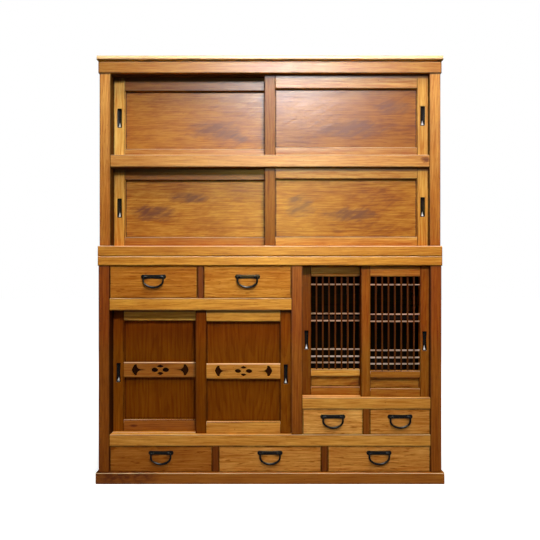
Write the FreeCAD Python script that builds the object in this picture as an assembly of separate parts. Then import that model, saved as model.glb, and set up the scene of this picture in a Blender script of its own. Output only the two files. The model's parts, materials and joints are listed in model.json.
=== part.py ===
import FreeCAD, Part
import math
import os

# Mizuya kitchen cabinet: an upper case with four sliding board doors on a lower case with seven drawers,
# two openwork doors and two lattice doors. Millimetres, +Z up, the front faces -Y. The origin is on the floor,
# under the middle of the cases.

# Cases
case_depth = 424.0
case_width = 1372.0
upper_case_set_back = 4.0
post_width = 44.0
post_depth = 45.0

# Heights of the bands and openings, from the floor up
plinth_height = 44.0
bottom_drawer_opening = 104.0
door_sill_height = 46.0
openwork_opening = 498.0
drawer_rail_height = 48.0
upper_drawer_opening = 130.0
lower_head_height = 38.0
upper_sill_height = 42.0
middle_cupboard_opening = 316.0
middle_rail_height = 48.0
top_cupboard_opening = 326.0
frieze_height = 44.0
cove_height = 8.0
top_board_thickness = 17.0
small_drawer_opening = 103.0
lattice_sill_height = 45.0

# How far the bands stand out past the posts
plinth_side_overhang = 10.0
plinth_front_overhang = 10.0
ledge_side_overhang = 3.0
ledge_front_overhang = 5.0
frieze_side_overhang = 3.5
frieze_front_overhang = 3.5
top_board_side_overhang = 10.0
top_board_front_overhang = 10.0
cove_depth = 8.0
end_set_back = 1.0
ledge_nose_radius = 5.0
plinth_nose_radius = 4.0
top_board_nose_radius = 6.0
frieze_nose_radius = 3.0

# Uprights and rails
divider_post_centre = 108.0
divider_post_width = 44.0
track_rail_depth = 86.0
upper_drawer_divider_width = 24.0
small_drawer_divider_width = 26.0
bottom_drawer_divider_width = 25.0
drawer_divider_recess = 3.0
rail_recess = 0.5
frame_rail_width = 44.0
plinth_rail_width = 60.0
plinth_stretcher_width = 60.0
side_rail_thickness = 28.0
side_rail_recess = 2.0
bottom_side_rail_height = 45.0
tenon_length = 14.0
tenon_thickness = 12.0
tenon_shoulder = 7.0
tenon_play = 0.1

# Panels, floors and shelves
side_panel_thickness = 8.0
side_panel_recess = 14.0
panel_tongue = 7.0
panel_play = 0.3
back_board_thickness = 7.0
back_board_recess = 12.0
lower_back_board_count = 9
upper_back_board_count = 9
back_board_gap = 0.6
floor_thickness = 12.0
frame_panel_thickness = 10.0
frame_panel_drop = 4.0
partition_thickness = 12.0
board_play = 0.2
bottom_board_seat = 10.0
guide_height = 22.0
lattice_shelf_top = 660.0
shelf_set_back = 97.0
cleat_width = 18.0
cleat_height = 20.0

# Doors
front_track_recess = 16.0
track_pitch = 34.0
door_thickness = 27.0
door_gap = 1.0
door_end_gap = 0.5
door_rail_relief = 0.5
door_rail_chamfer = 2.5
track_tongue_thickness = 12.0
track_groove_play = 0.5
sill_groove_depth = 3.0
head_groove_depth = 9.0
sill_tongue_play = 0.3
head_tongue_height = 6.0
door_panel_thickness = 7.0
door_panel_recess = 15.0
door_panel_tongue = 8.0
upper_stile_width = 45.0
top_door_head_rail = 55.0
top_door_foot_rail = 34.0
middle_door_head_rail = 45.0
middle_door_foot_rail = 37.0
openwork_stile_width = 44.0
openwork_head_rail = 46.0
openwork_foot_rail = 48.0
band_foot_height = 220.0
band_height = 62.0
band_set_back = 1.5
band_chamfer = 5.0
lattice_stile_width = 37.5
lattice_head_rail = 43.0
lattice_foot_rail = 34.0
lattice_panel_height = 42.0
lattice_middle_rail = 29.0
lattice_bar_width = 6.0
lattice_bar_thickness = 8.0
lattice_level_bar_height = 5.6
lattice_level_bar_thickness = 7.0
lattice_lap = 3.5
lattice_bar_set_back = 4.0
lattice_bar_count = 7
lattice_bar_tongue = 5.0
lattice_play = 0.05
level_bar_height_shares = (0.070, 0.137, 0.214, 0.522, 0.598, 0.913)

# Openwork: two petals and two crests round an eye, and at each side a leaf with a long stalk
petal_length = 27.5
petal_width = 18.5
petal_offset = 22.2
crest_width = 28.0
crest_height = 13.0
crest_offset = 9.0
crest_shoulder_share = 0.42
flower_eye_radius = 2.0
leaf_offset = 100.0
leaf_height = 45.0
leaf_tip_width = 8.0
leaf_outer_reach = 16.4
leaf_inner_reach = 18.0
leaf_bulge_share = 0.62
leaf_hollow_share = 0.26
leaf_hollow_height_share = 0.4
stalk_length = 28.0
stalk_width = 4.4

# Finger pulls
pull_width = 18.5
pull_height = 78.0
pull_depth = 9.0
pull_wall = 1.2
pull_proud = 0.4
pull_waist = 2.0
pull_play = 0.1
top_pull_height_share = 0.49
middle_pull_height_share = 0.495
openwork_pull_height_share = 0.481
lattice_pull_height_share = 0.426

# Drawers
drawer_front_recess = 2.5
drawer_front_thickness = 18.0
drawer_gap = 1.0
drawer_depth = 392.0
drawer_side_thickness = 10.0
drawer_side_inset = 0.5
drawer_side_drop = 6.0
drawer_back_drop = 10.0
drawer_bottom_thickness = 6.0
drawer_bottom_lift = 7.0
drawer_bottom_tongue = 5.0
drawer_bottom_play = 0.3
drawer_rebate = 6.0
drawer_floor_play = 0.3

# Iron handles
handle_plate_length = 101.0
handle_plate_height = 15.0
handle_plate_flare = 1.5
handle_plate_thickness = 1.8
stud_spacing = 60.0
stud_head_radius = 5.0
stud_neck_radius = 3.2
stud_shank_radius = 2.0
stud_stand_off = 6.5
stud_leg_length = 14.0
stud_leg_thickness = 1.6
stud_hole_play = 0.1
bail_turn_radius = 4.5
bail_drop = 43.0
bail_radius = 3.75
bail_pin_radius = 2.4
bail_pin_play = 0.08
bail_side_length = 10.0
bail_corner_share = 0.772
upper_handle_height_share = 0.665
small_handle_height_share = 0.70
bottom_handle_height_share = 0.74

# Cutters run this far past the faces that they open, and edges are found by their place to within the match
overrun = 2.0
match = 0.1

# Levels
plinth_top = plinth_height
door_sill_foot = plinth_top + bottom_drawer_opening
door_sill_top = door_sill_foot + door_sill_height
drawer_rail_foot = door_sill_top + openwork_opening
drawer_rail_top = drawer_rail_foot + drawer_rail_height
lower_head_foot = drawer_rail_top + upper_drawer_opening
upper_sill_foot = lower_head_foot + lower_head_height
upper_sill_top = upper_sill_foot + upper_sill_height
middle_rail_foot = upper_sill_top + middle_cupboard_opening
middle_rail_top = middle_rail_foot + middle_rail_height
frieze_foot = middle_rail_top + top_cupboard_opening
cove_foot = frieze_foot + frieze_height
top_board_foot = cove_foot + cove_height
top_board_top = top_board_foot + top_board_thickness
lattice_sill_foot = door_sill_top + small_drawer_opening
lattice_sill_top = lattice_sill_foot + lattice_sill_height

# Planes across the depth and the width
front = -case_depth / 2
back = case_depth / 2
track_rail_back = front + track_rail_depth
rear_post_front = back - post_depth
back_board_back = back - back_board_recess
back_board_front = back_board_back - back_board_thickness
lower_half = case_width / 2
upper_half = lower_half - upper_case_set_back
lower_inner = lower_half - post_width
upper_inner = upper_half - post_width
lower_panel_inner = lower_half - side_panel_recess - side_panel_thickness
upper_panel_inner = upper_half - side_panel_recess - side_panel_thickness
lower_side_rail_inner = lower_half - side_rail_recess - side_rail_thickness
upper_side_rail_inner = upper_half - side_rail_recess - side_rail_thickness
divider_left = divider_post_centre - divider_post_width / 2
divider_right = divider_post_centre + divider_post_width / 2
partition_left = divider_post_centre - partition_thickness / 2
partition_right = divider_post_centre + partition_thickness / 2
ledge_half = lower_half + ledge_side_overhang
frieze_half = upper_half + frieze_side_overhang
plinth_half = lower_half + plinth_side_overhang
top_board_half = upper_half + top_board_side_overhang
ledge_front = front - ledge_front_overhang
frieze_front = front - frieze_front_overhang
plinth_front = front - plinth_front_overhang
top_board_front = front - top_board_front_overhang


# Shapes


def block(x, y, z):
    """A box from its two ends along each axis."""
    corner = FreeCAD.Vector(x[0], y[0], z[0])
    return Part.makeBox(x[1] - x[0], y[1] - y[0], z[1] - z[0], corner)


def centred(middle, width):
    """The two ends of a width about its middle."""
    return middle - width / 2, middle + width / 2


def grown(span, play):
    """A span with the same play added at both ends."""
    return span[0] - play, span[1] + play


def both_sides(solid):
    """A solid and its mirror image across the middle plane of the cabinet."""
    image = solid.mirror(FreeCAD.Vector(0, 0, 0), FreeCAD.Vector(1, 0, 0))
    return [solid, image]


def near(a, b):
    return math.isclose(a, b, abs_tol=match)


def rounded_front(solid, radius, front_y, levels, ends=()):
    """Rounds the long front edges at the named levels, and the upright front edges at the named ends."""
    picked = []
    for edge in solid.Edges:
        box = edge.BoundBox
        on_front = near(box.YMin, front_y) and near(box.YMax, front_y)
        level = near(box.ZMin, box.ZMax) and any(near(box.ZMin, z) for z in levels)
        upright = near(box.XMin, box.XMax) and any(near(box.XMin, x) for x in ends)
        if on_front and (level or upright):
            picked.append(edge)
    return solid.makeFillet(radius, picked)


def chamfered_top(solid, size, front_y, top_z):
    """Takes the corner off the long edge between the front and the top."""
    picked = []
    for edge in solid.Edges:
        box = edge.BoundBox
        on_front = near(box.YMin, front_y) and near(box.YMax, front_y)
        if on_front and near(box.ZMin, top_z) and near(box.ZMax, top_z):
            picked.append(edge)
    return solid.makeChamfer(size, picked)


def overlaps(one, other):
    return one.BoundBox.intersect(other.BoundBox)


def housed(member, cutters):
    """A member with the mortises and grooves that reach it cut out."""
    reaching = [cutter for cutter in cutters if overlaps(member, cutter)]
    return member.cut(reaching) if reaching else member


def save(node, solids):
    shape = Part.makeCompound(solids)
    shape.exportStep("parts/" + node + ".step")
    sound = all(len(solid.Solids) == 1 and solid.isValid() for solid in solids)
    print(node, len(solids), "solids", round(shape.Volume / 1e6, 3), "dm3", "" if sound else "NOT SOUND")


# Case joinery: rails carry stub tenons, panels and boards run in grooves

post_mortises = []
rail_mortises = []
grooves = []


def long_rail(x, y, z):
    """A rail along the width with a stub tenon at each end, set into the posts."""
    tenon_y = centred(y[0] + post_depth / 2, tenon_thickness)
    tenon_z = (z[0] + tenon_shoulder, z[1] - tenon_shoulder)
    tenon = block(grown(x, tenon_length), tenon_y, tenon_z)
    post_mortises.append(
        block(grown(x, tenon_length + tenon_play), grown(tenon_y, tenon_play), grown(tenon_z, tenon_play))
    )
    return block(x, y, z).fuse(tenon).removeSplitter()


def back_rail(x, z):
    """A rail behind the floors, tenoned into the rear posts, that the back boards are nailed to."""
    y = (rear_post_front, back_board_front - board_play)
    tenon_z = (z[0] + tenon_shoulder, z[1] - tenon_shoulder)
    tenon_y = centred((y[0] + y[1]) / 2, tenon_thickness)
    tenon = block(grown(x, tenon_length), tenon_y, tenon_z)
    post_mortises.append(
        block(grown(x, tenon_length + tenon_play), grown(tenon_y, tenon_play), grown(tenon_z, tenon_play))
    )
    return block(x, y, z).fuse(tenon).removeSplitter()


def side_rail(half, z):
    """A rail along the depth of one side, tenoned into the front and rear post."""
    x = (half - side_rail_recess - side_rail_thickness, half - side_rail_recess)
    y = (front + post_depth, rear_post_front)
    tenon_x = centred((x[0] + x[1]) / 2, tenon_thickness)
    tenon_z = (z[0] + tenon_shoulder, z[1] - tenon_shoulder)
    tenon = block(tenon_x, grown(y, tenon_length), tenon_z)
    mortise = block(
        grown(tenon_x, tenon_play), grown(y, tenon_length + tenon_play), grown(tenon_z, tenon_play)
    )
    post_mortises.extend(both_sides(mortise))
    return block(x, y, z).fuse(tenon).removeSplitter()


def upright(x, y, z):
    """A short upright between two rails, with a stub tenon at head and foot."""
    tenon_y = centred(y[0] + post_depth / 2, tenon_thickness)
    tenon_x = grown(x, -tenon_shoulder)
    tenon = block(tenon_x, tenon_y, grown(z, tenon_length / 2))
    rail_mortises.append(
        block(
            grown(tenon_x, tenon_play), grown(tenon_y, tenon_play), grown(z, tenon_length / 2 + tenon_play)
        )
    )
    return block(x, y, z).fuse(tenon).removeSplitter()


# Door tracks


def track_centres():
    """The middle of the front and of the back track."""
    first = front + front_track_recess + door_thickness / 2
    return first, first + track_pitch


def track_grooves(x, level, depth):
    """Two grooves along a rail: depth is positive for grooves cut down into a sill, negative for a head."""
    z = (level - depth, level + overrun) if depth > 0 else (level - overrun, level - depth)
    width = track_tongue_thickness + 2 * track_groove_play
    return [block(x, centred(middle, width), z) for middle in track_centres()]


def sill_grooves(x, level):
    return track_grooves(x, level, sill_groove_depth)


def head_grooves(x, level):
    return track_grooves(x, level, -head_groove_depth)


# Carcass


def make_plinth():
    """Front and rear boards, two ends set between them, and a stretcher in the middle."""
    seat_z = (plinth_top - floor_thickness, plinth_top + overrun)
    inner = plinth_half - plinth_rail_width
    front_span = (plinth_front, plinth_front + plinth_rail_width)
    rear_span = (back - plinth_rail_width, back)
    middle_span = (front_span[1], rear_span[0])
    seat = block(
        (-inner - bottom_board_seat, inner + bottom_board_seat),
        (front_span[1] - bottom_board_seat, rear_span[0] + bottom_board_seat),
        seat_z,
    )
    whole = (-plinth_half, plinth_half)
    front_board = block(whole, front_span, (0, plinth_top))
    front_board = rounded_front(front_board, plinth_nose_radius, plinth_front, [plinth_top], whole)
    rear_board = block(whole, rear_span, (0, plinth_top))
    end = block((inner, plinth_half - end_set_back), middle_span, (0, plinth_top))
    half_stretcher = plinth_stretcher_width / 2
    stretcher = block((-half_stretcher, half_stretcher), middle_span, (0, plinth_top - floor_thickness))
    members = [front_board, rear_board] + both_sides(end)
    save("plinth", [housed(member.cut(seat), rail_mortises) for member in members] + [stretcher])
    bottom = block(
        grown((-inner, inner), bottom_board_seat - board_play),
        grown(middle_span, bottom_board_seat - board_play),
        (plinth_top - floor_thickness, plinth_top),
    )
    return bottom


def make_band(half, front_y, z, nose_radius, panel_z=None):
    """Four rails that wrap round a case: front, rear and two sides, with a panel in their grooves."""
    front_rail = block((-half, half), (front_y, track_rail_back), z)
    if nose_radius:
        front_rail = rounded_front(front_rail, nose_radius, front_y, z, (-half, half))
    rear_rail = block((-half, half), (rear_post_front, back), z)
    side_x = (half - end_set_back - frame_rail_width, half - end_set_back)
    side = block(side_x, (track_rail_back, rear_post_front), z)
    if panel_z:
        inside = side_x[0]
        panel = block(
            grown((-inside, inside), panel_tongue),
            grown((track_rail_back, rear_post_front), panel_tongue),
            panel_z,
        )
        groove = block(
            grown((-inside, inside), panel_tongue + panel_play),
            grown((track_rail_back, rear_post_front), panel_tongue + panel_play),
            grown(panel_z, panel_play),
        )
        rails = [rail.cut(groove) for rail in [front_rail, rear_rail] + both_sides(side)]
        return rails, panel
    return [front_rail, rear_rail] + both_sides(side), None


def cove_cutter(half, front_y):
    """The step under the top board: everything outside a smaller outline, between two levels."""
    z = (cove_foot, top_board_foot + overrun)
    outside = block(grown((-half, half), overrun), (front_y - overrun, back + overrun), z)
    kept = block(
        (-half + cove_depth, half - cove_depth), (front_y + cove_depth, back + 2 * overrun), grown(z, overrun)
    )
    return outside.cut(kept)


def make_lower_rails():
    """Front rails of the lower case, its back rail and side rails."""
    y = (front + rail_recess, track_rail_back)
    whole = (-lower_inner, lower_inner)
    left = (-lower_inner, divider_left)
    right = (divider_right, lower_inner)
    door_sill = long_rail(whole, y, (door_sill_foot, door_sill_top))
    drawer_rail = long_rail(left, y, (drawer_rail_foot, drawer_rail_top))
    lattice_sill = long_rail(right, y, (lattice_sill_foot, lattice_sill_top))
    behind = back_rail(whole, (drawer_rail_foot, drawer_rail_top))
    middle_side = side_rail(lower_half, (drawer_rail_foot, drawer_rail_top))
    foot_side = side_rail(lower_half, (plinth_top, plinth_top + bottom_side_rail_height))
    tracks = sill_grooves(left, door_sill_top) + head_grooves(left, drawer_rail_foot)
    tracks += sill_grooves(right, lattice_sill_top)
    return [door_sill, drawer_rail, lattice_sill, behind] + both_sides(middle_side) + both_sides(
        foot_side
    ), tracks


def drawer_divider(x_middle, width, z):
    face = front + drawer_divider_recess
    return upright(centred(x_middle, width), (face, track_rail_back), z)


def bottom_divider_middles():
    """The two dividers that share the bottom row into three equal drawers."""
    third = (2 * lower_inner - 2 * bottom_drawer_divider_width) / 3
    middle = third / 2 + bottom_drawer_divider_width / 2
    return -middle, middle


def guide(x, z_foot, y_front=track_rail_back, y_back=rear_post_front):
    return block(x, (y_front, y_back), (z_foot, z_foot + guide_height))


def make_inner_framing():
    """Drawer dividers, drawer guides, stop strips behind the front posts and the cleats of the shelf."""
    upper_middle = (-lower_inner + divider_left) / 2
    small_middle = (divider_right + lower_inner) / 2
    pieces = [
        drawer_divider(upper_middle, upper_drawer_divider_width, (drawer_rail_top, lower_head_foot)),
        drawer_divider(small_middle, small_drawer_divider_width, (door_sill_top, lattice_sill_foot)),
        guide(centred(upper_middle, upper_drawer_divider_width), drawer_rail_top),
        guide(centred(small_middle, small_drawer_divider_width), door_sill_top),
        guide((-lower_panel_inner + board_play, -lower_inner), drawer_rail_top),
        guide((divider_left, partition_left - board_play), drawer_rail_top),
        guide((partition_right + board_play, divider_right), door_sill_top),
        guide((lower_inner, lower_panel_inner - board_play), door_sill_top),
    ]
    for middle in bottom_divider_middles():
        row = (plinth_top, door_sill_foot)
        pieces.append(drawer_divider(middle, bottom_drawer_divider_width, row))
        pieces.append(guide(centred(middle, bottom_drawer_divider_width), plinth_top))
    pieces += both_sides(guide((lower_inner, lower_side_rail_inner - board_play), plinth_top))
    strip_y = (front + post_depth, track_rail_back)
    for z in ((upper_sill_top, middle_rail_foot), (middle_rail_top, frieze_foot)):
        strip_x = (upper_inner, upper_panel_inner - board_play)
        pieces += both_sides(block(strip_x, strip_y, z))
    left_strip_x = (-lower_panel_inner + board_play, -lower_inner)
    left_strip = block(left_strip_x, strip_y, (door_sill_top, drawer_rail_foot))
    right_strip_x = (lower_inner, lower_side_rail_inner - board_play)
    right_strip = block(right_strip_x, strip_y, (lattice_sill_top, lower_head_foot))
    pieces += [left_strip, right_strip]
    cleat_z = (lattice_shelf_top - floor_thickness - cleat_height, lattice_shelf_top - floor_thickness)
    cleat_y = (front + shelf_set_back, rear_post_front)
    pieces.append(block((partition_right, partition_right + cleat_width), cleat_y, cleat_z))
    pieces.append(
        block((lower_panel_inner - board_play - cleat_width, lower_panel_inner - board_play), cleat_y, cleat_z)
    )
    return pieces


def make_posts():
    """Four lower and four upper corner posts, and the divider post of the lower case."""
    lower_x = (lower_inner, lower_half)
    upper_x = (upper_inner, upper_half)
    front_y = (front, front + post_depth)
    rear_y = (rear_post_front, back)
    lower_z = (plinth_top, lower_head_foot)
    upper_z = (upper_sill_top, frieze_foot)
    posts = []
    for y in (front_y, rear_y):
        posts += both_sides(block(lower_x, y, lower_z))
        posts += both_sides(block(upper_x, y, upper_z))
    divider_z = (door_sill_top, lower_head_foot)
    divider = block((divider_left, divider_right), (front + rail_recess, track_rail_back), divider_z)
    return posts, divider


def make_floors():
    """Floor boards of the compartments and drawer rows, and the shelf behind the lattice."""
    y = (track_rail_back + board_play, rear_post_front - board_play)
    behind = (y[1], back_board_front - board_play)

    def board(x, top, notch_x=None):
        z = (top - floor_thickness, top)
        piece = block(x, y, z)
        if notch_x:
            piece = piece.fuse(block(notch_x, behind, z)).removeSplitter()
        return piece

    wide = lower_panel_inner - board_play
    narrow = lower_inner - board_play
    door_floor = board((-wide, wide), door_sill_top, (-narrow, narrow))
    rail_side = lower_side_rail_inner - board_play
    drawer_floor = board((-rail_side, partition_left - board_play), drawer_rail_top)
    lattice_floor = board(
        (partition_right + board_play, wide), lattice_sill_top, (partition_right + board_play, narrow)
    )
    shelf_y = (front + shelf_set_back, rear_post_front - board_play)
    shelf_z = (lattice_shelf_top - floor_thickness, lattice_shelf_top)
    shelf = block((partition_right + board_play, wide), shelf_y, shelf_z)
    return [door_floor, drawer_floor, lattice_floor, shelf]


def board_row(half, count, z):
    """Upright boards side by side across the back, with a fine gap between them."""
    pitch = 2 * half / count
    boards = []
    for i in range(count):
        left = -half + i * pitch
        x = (left + back_board_gap / 2, left + pitch - back_board_gap / 2)
        boards.append(block(x, (back_board_front, back_board_back), z))
    groove = block(
        grown((-half, half), panel_play),
        grown((back_board_front, back_board_back), panel_play),
        grown(z, panel_play),
    )
    grooves.append(groove)
    return boards


def make_panels():
    """Side panels of both cases, back boards and the partition between the lower compartments."""
    y = grown((front + post_depth, rear_post_front), panel_tongue)
    pieces = []
    lower_x = (lower_panel_inner, lower_panel_inner + side_panel_thickness)
    upper_x = (upper_panel_inner, upper_panel_inner + side_panel_thickness)
    foot_rail_top = plinth_top + bottom_side_rail_height
    spans = (
        (lower_x, (foot_rail_top, drawer_rail_foot)),
        (lower_x, (drawer_rail_top, lower_head_foot)),
        (upper_x, (upper_sill_top, middle_rail_foot)),
        (upper_x, (middle_rail_top, frieze_foot)),
    )
    for x, z in spans:
        panel = block(x, y, grown(z, panel_tongue))
        groove = block(grown(x, panel_play), grown(y, panel_play), grown(z, panel_tongue + panel_play))
        pieces += both_sides(panel)
        grooves.extend(both_sides(groove))
    lower_span = (plinth_top, lower_head_foot + panel_tongue)
    pieces += board_row(lower_inner + panel_tongue, lower_back_board_count, lower_span)
    upper_span = grown((upper_sill_top, frieze_foot), panel_tongue)
    pieces += board_row(upper_inner + panel_tongue, upper_back_board_count, upper_span)
    partition = block(
        (partition_left, partition_right),
        (track_rail_back, rear_post_front - board_play),
        (door_sill_top, lower_head_foot),
    )
    pieces.append(partition)
    return pieces


def make_carcass():
    panels = make_panels()
    lower_rails, lower_tracks = make_lower_rails()
    framing = make_inner_framing()
    bottom_board = make_plinth()
    posts, divider = make_posts()
    upper_whole = (-upper_inner, upper_inner)
    middle_z = (middle_rail_foot, middle_rail_top)
    middle_rail = long_rail(upper_whole, (front + rail_recess, track_rail_back), middle_z)
    middle_back = back_rail(upper_whole, middle_z)
    middle_sides = both_sides(side_rail(upper_half, middle_z))
    shelf_x = upper_side_rail_inner - board_play
    shelf = block(
        (-shelf_x, shelf_x),
        (track_rail_back + board_play, rear_post_front - board_play),
        (middle_rail_top - floor_thickness, middle_rail_top),
    )
    upper_tracks = head_grooves(upper_whole, middle_rail_foot) + sill_grooves(upper_whole, middle_rail_top)
    shelf_rails = [housed(piece, grooves + upper_tracks) for piece in [middle_rail, middle_back] + middle_sides]
    save("middle_shelf", shelf_rails + [shelf])

    lower_head_z = (lower_head_foot, upper_sill_foot)
    panel_top = upper_sill_foot - frame_panel_drop
    head, head_panel = make_band(
        ledge_half, ledge_front, lower_head_z, ledge_nose_radius, (panel_top - frame_panel_thickness, panel_top)
    )
    right = (divider_right, lower_inner)
    head_cuts = grooves + rail_mortises + head_grooves(right, lower_head_foot)
    save("lower_head_frame", [housed(rail, head_cuts) for rail in head] + [head_panel])

    sill_z = (upper_sill_foot, upper_sill_top)
    panel_top = upper_sill_top - frame_panel_drop
    sill, sill_panel = make_band(
        ledge_half, ledge_front, sill_z, ledge_nose_radius, (panel_top - frame_panel_thickness, panel_top)
    )
    sill_cuts = grooves + sill_grooves(upper_whole, upper_sill_top)
    save("upper_sill_frame", [housed(rail, sill_cuts) for rail in sill] + [sill_panel])

    frieze_z = (frieze_foot, top_board_foot)
    frieze, _ = make_band(frieze_half, frieze_front, frieze_z, 0)
    frieze_cuts = grooves + head_grooves(upper_whole, frieze_foot)
    frieze_cuts.append(cove_cutter(frieze_half, frieze_front))
    frieze = [housed(rail, frieze_cuts) for rail in frieze]
    noses = (frieze_foot, cove_foot)
    frieze[0] = rounded_front(frieze[0], frieze_nose_radius, frieze_front, noses)
    save("frieze_frame", frieze)

    top_board = block(
        (-top_board_half, top_board_half), (top_board_front, back), (top_board_foot, top_board_top)
    )
    edges = [e for e in top_board.Edges if not near(e.BoundBox.YMin, back) and not near(e.BoundBox.YMax, back)]
    save("top_board", [top_board.makeFillet(top_board_nose_radius, edges)])

    save("posts", [housed(p, post_mortises + grooves) for p in posts] + [housed(divider, post_mortises)])
    save("lower_rails", [housed(rail, grooves + rail_mortises + lower_tracks) for rail in lower_rails])
    save("inner_framing", framing)
    save("floors", [bottom_board] + make_floors())
    save("case_panels", panels)


# Doors


def tongued(x, face, z, opening):
    """A door member with a tongue at its foot and head where it meets the tracks."""
    y = (face, face + door_thickness)
    tongue_y = centred(face + door_thickness / 2, track_tongue_thickness)
    pieces = []
    if near(z[0], opening[0] + door_gap):
        foot = opening[0] - sill_groove_depth + sill_tongue_play
        pieces.append(block(x, tongue_y, (foot, z[0])))
    if near(z[1], opening[1] - door_gap):
        pieces.append(block(x, tongue_y, (z[1], opening[1] + head_tongue_height)))
    return y, pieces


def door_member(x, face, z, opening, relief=0.0):
    y, tongues = tongued(x, face, z, opening)
    body = block(x, grown(y, -relief), z)
    return body.fuse(tongues).removeSplitter() if tongues else body


def door_frame(x, face, opening, stile_width, rails):
    """Two stiles and the rails between them, tenoned together. rails holds the foot and head of each rail."""
    z = (opening[0] + door_gap, opening[1] - door_gap)
    inside = (x[0] + stile_width, x[1] - stile_width)
    stiles = [
        door_member((x[0], inside[0]), face, z, opening),
        door_member((inside[1], x[1]), face, z, opening),
    ]
    rail_solids = []
    tenon_y = centred(face + door_thickness / 2, tenon_thickness)
    for rail_z in rails:
        body = door_member(inside, face, rail_z, opening, door_rail_relief)
        if not near(rail_z[1], z[1]):
            body = chamfered_top(body, door_rail_chamfer, face + door_rail_relief, rail_z[1])
        tenon_z = grown(rail_z, -tenon_shoulder)
        tenon = block(grown(inside, tenon_length), tenon_y, tenon_z)
        mortise = block(
            grown(inside, tenon_length + tenon_play), grown(tenon_y, tenon_play), grown(tenon_z, tenon_play)
        )
        rail_solids.append(body.fuse(tenon).removeSplitter())
        stiles = [stile.cut(mortise) for stile in stiles]
    return stiles, rail_solids, inside


def panel_between(inside, face, z, recess=door_panel_recess):
    """A door panel and the groove that it runs in."""
    y = (face + recess, face + recess + door_panel_thickness)
    panel = block(grown(inside, door_panel_tongue), y, grown(z, door_panel_tongue))
    groove = block(
        grown(inside, door_panel_tongue + panel_play),
        grown(y, panel_play),
        grown(z, door_panel_tongue + panel_play),
    )
    return panel, groove


def pull_outline(width, height, waist, middle_x, middle_z, y):
    """The outline of a finger pull: straight, or drawn in along its sides by the waist."""
    corners = [
        FreeCAD.Vector(middle_x + sx * width / 2, y, middle_z + sz * height / 2)
        for sx, sz in ((-1, -1), (1, -1), (1, 1), (-1, 1))
    ]
    right_middle = FreeCAD.Vector(middle_x + width / 2 - waist, y, middle_z)
    left_middle = FreeCAD.Vector(middle_x - width / 2 + waist, y, middle_z)
    bottom = Part.LineSegment(corners[0], corners[1]).toShape()
    top = Part.LineSegment(corners[2], corners[3]).toShape()
    if waist:
        right = Part.Arc(corners[1], right_middle, corners[2]).toShape()
        left = Part.Arc(corners[3], left_middle, corners[0]).toShape()
    else:
        right = Part.LineSegment(corners[1], corners[2]).toShape()
        left = Part.LineSegment(corners[3], corners[0]).toShape()
    return Part.Face(Part.Wire([bottom, right, top, left]))


def make_pull(middle_x, middle_z, face, waist):
    """A sheet-iron cup let into the stile, and the pocket that takes it."""
    front_y = face - pull_proud
    outer = pull_outline(pull_width, pull_height, waist, middle_x, middle_z, front_y)
    outer = outer.extrude(FreeCAD.Vector(0, pull_depth, 0))
    inner = pull_outline(
        pull_width - 2 * pull_wall, pull_height - 2 * pull_wall, waist, middle_x, middle_z, front_y - overrun
    )
    inner = inner.extrude(FreeCAD.Vector(0, pull_depth - pull_wall + overrun, 0))
    pocket = pull_outline(
        pull_width + 2 * pull_play, pull_height + 2 * pull_play, waist, middle_x, middle_z, front_y
    )
    pocket = pocket.extrude(FreeCAD.Vector(0, pull_depth + pull_play, 0))
    return outer.cut(inner), pocket


def petal(middle_x, middle_z, y):
    """A level pointed oval between two arcs."""
    left = FreeCAD.Vector(middle_x - petal_length / 2, y, middle_z)
    right = FreeCAD.Vector(middle_x + petal_length / 2, y, middle_z)
    top = FreeCAD.Vector(middle_x, y, middle_z + petal_width / 2)
    foot = FreeCAD.Vector(middle_x, y, middle_z - petal_width / 2)
    return Part.Face(Part.Wire([Part.Arc(left, top, right).toShape(), Part.Arc(right, foot, left).toShape()]))


def crest(middle_x, middle_z, sign, y):
    """A wide petal above (sign 1) or below (sign -1) the eye: pointed outwards, its base an arc."""

    def point(x_out, z_out):
        return FreeCAD.Vector(middle_x + x_out, y, middle_z + sign * (crest_offset + z_out))

    left = point(-crest_width / 2, crest_height * crest_shoulder_share)
    right = point(crest_width / 2, crest_height * crest_shoulder_share)
    tip = point(0, crest_height)
    edges = [
        Part.LineSegment(left, tip).toShape(),
        Part.LineSegment(tip, right).toShape(),
        Part.Arc(right, point(0, 0), left).toShape(),
    ]
    return Part.Face(Part.Wire(edges))


def leaf(middle_x, middle_z, side, y):
    """A leaf with blunt tips, a full outer flank and a hollow inner flank that runs into a stalk. side is -1 or 1."""

    def point(x_out, z_up):
        return FreeCAD.Vector(middle_x + side * (leaf_offset + x_out), y, middle_z + z_up)

    half_height = leaf_height / 2
    half_tip = leaf_tip_width / 2
    half_stalk = stalk_width / 2
    bulge_x = half_tip + (leaf_outer_reach - half_tip) * leaf_bulge_share
    hollow_x = -half_tip - (leaf_inner_reach - half_tip) * leaf_hollow_share
    hollow_z = half_height * leaf_hollow_height_share
    outer = point(leaf_outer_reach, 0)
    end = point(-leaf_inner_reach - stalk_length, 0)
    edges = []
    for up in (1, -1):
        outer_tip = point(half_tip, up * half_height)
        inner_tip = point(-half_tip, up * half_height)
        neck = point(-leaf_inner_reach, up * half_stalk)
        flank = [
            Part.Arc(outer, point(bulge_x, up * half_height / 2), outer_tip).toShape(),
            Part.LineSegment(outer_tip, inner_tip).toShape(),
            Part.Arc(inner_tip, point(hollow_x, up * hollow_z), neck).toShape(),
            Part.LineSegment(neck, end).toShape(),
        ]
        edges += flank
    return Part.Face(Part.Wire(Part.__sortEdges__(edges)))


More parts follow.
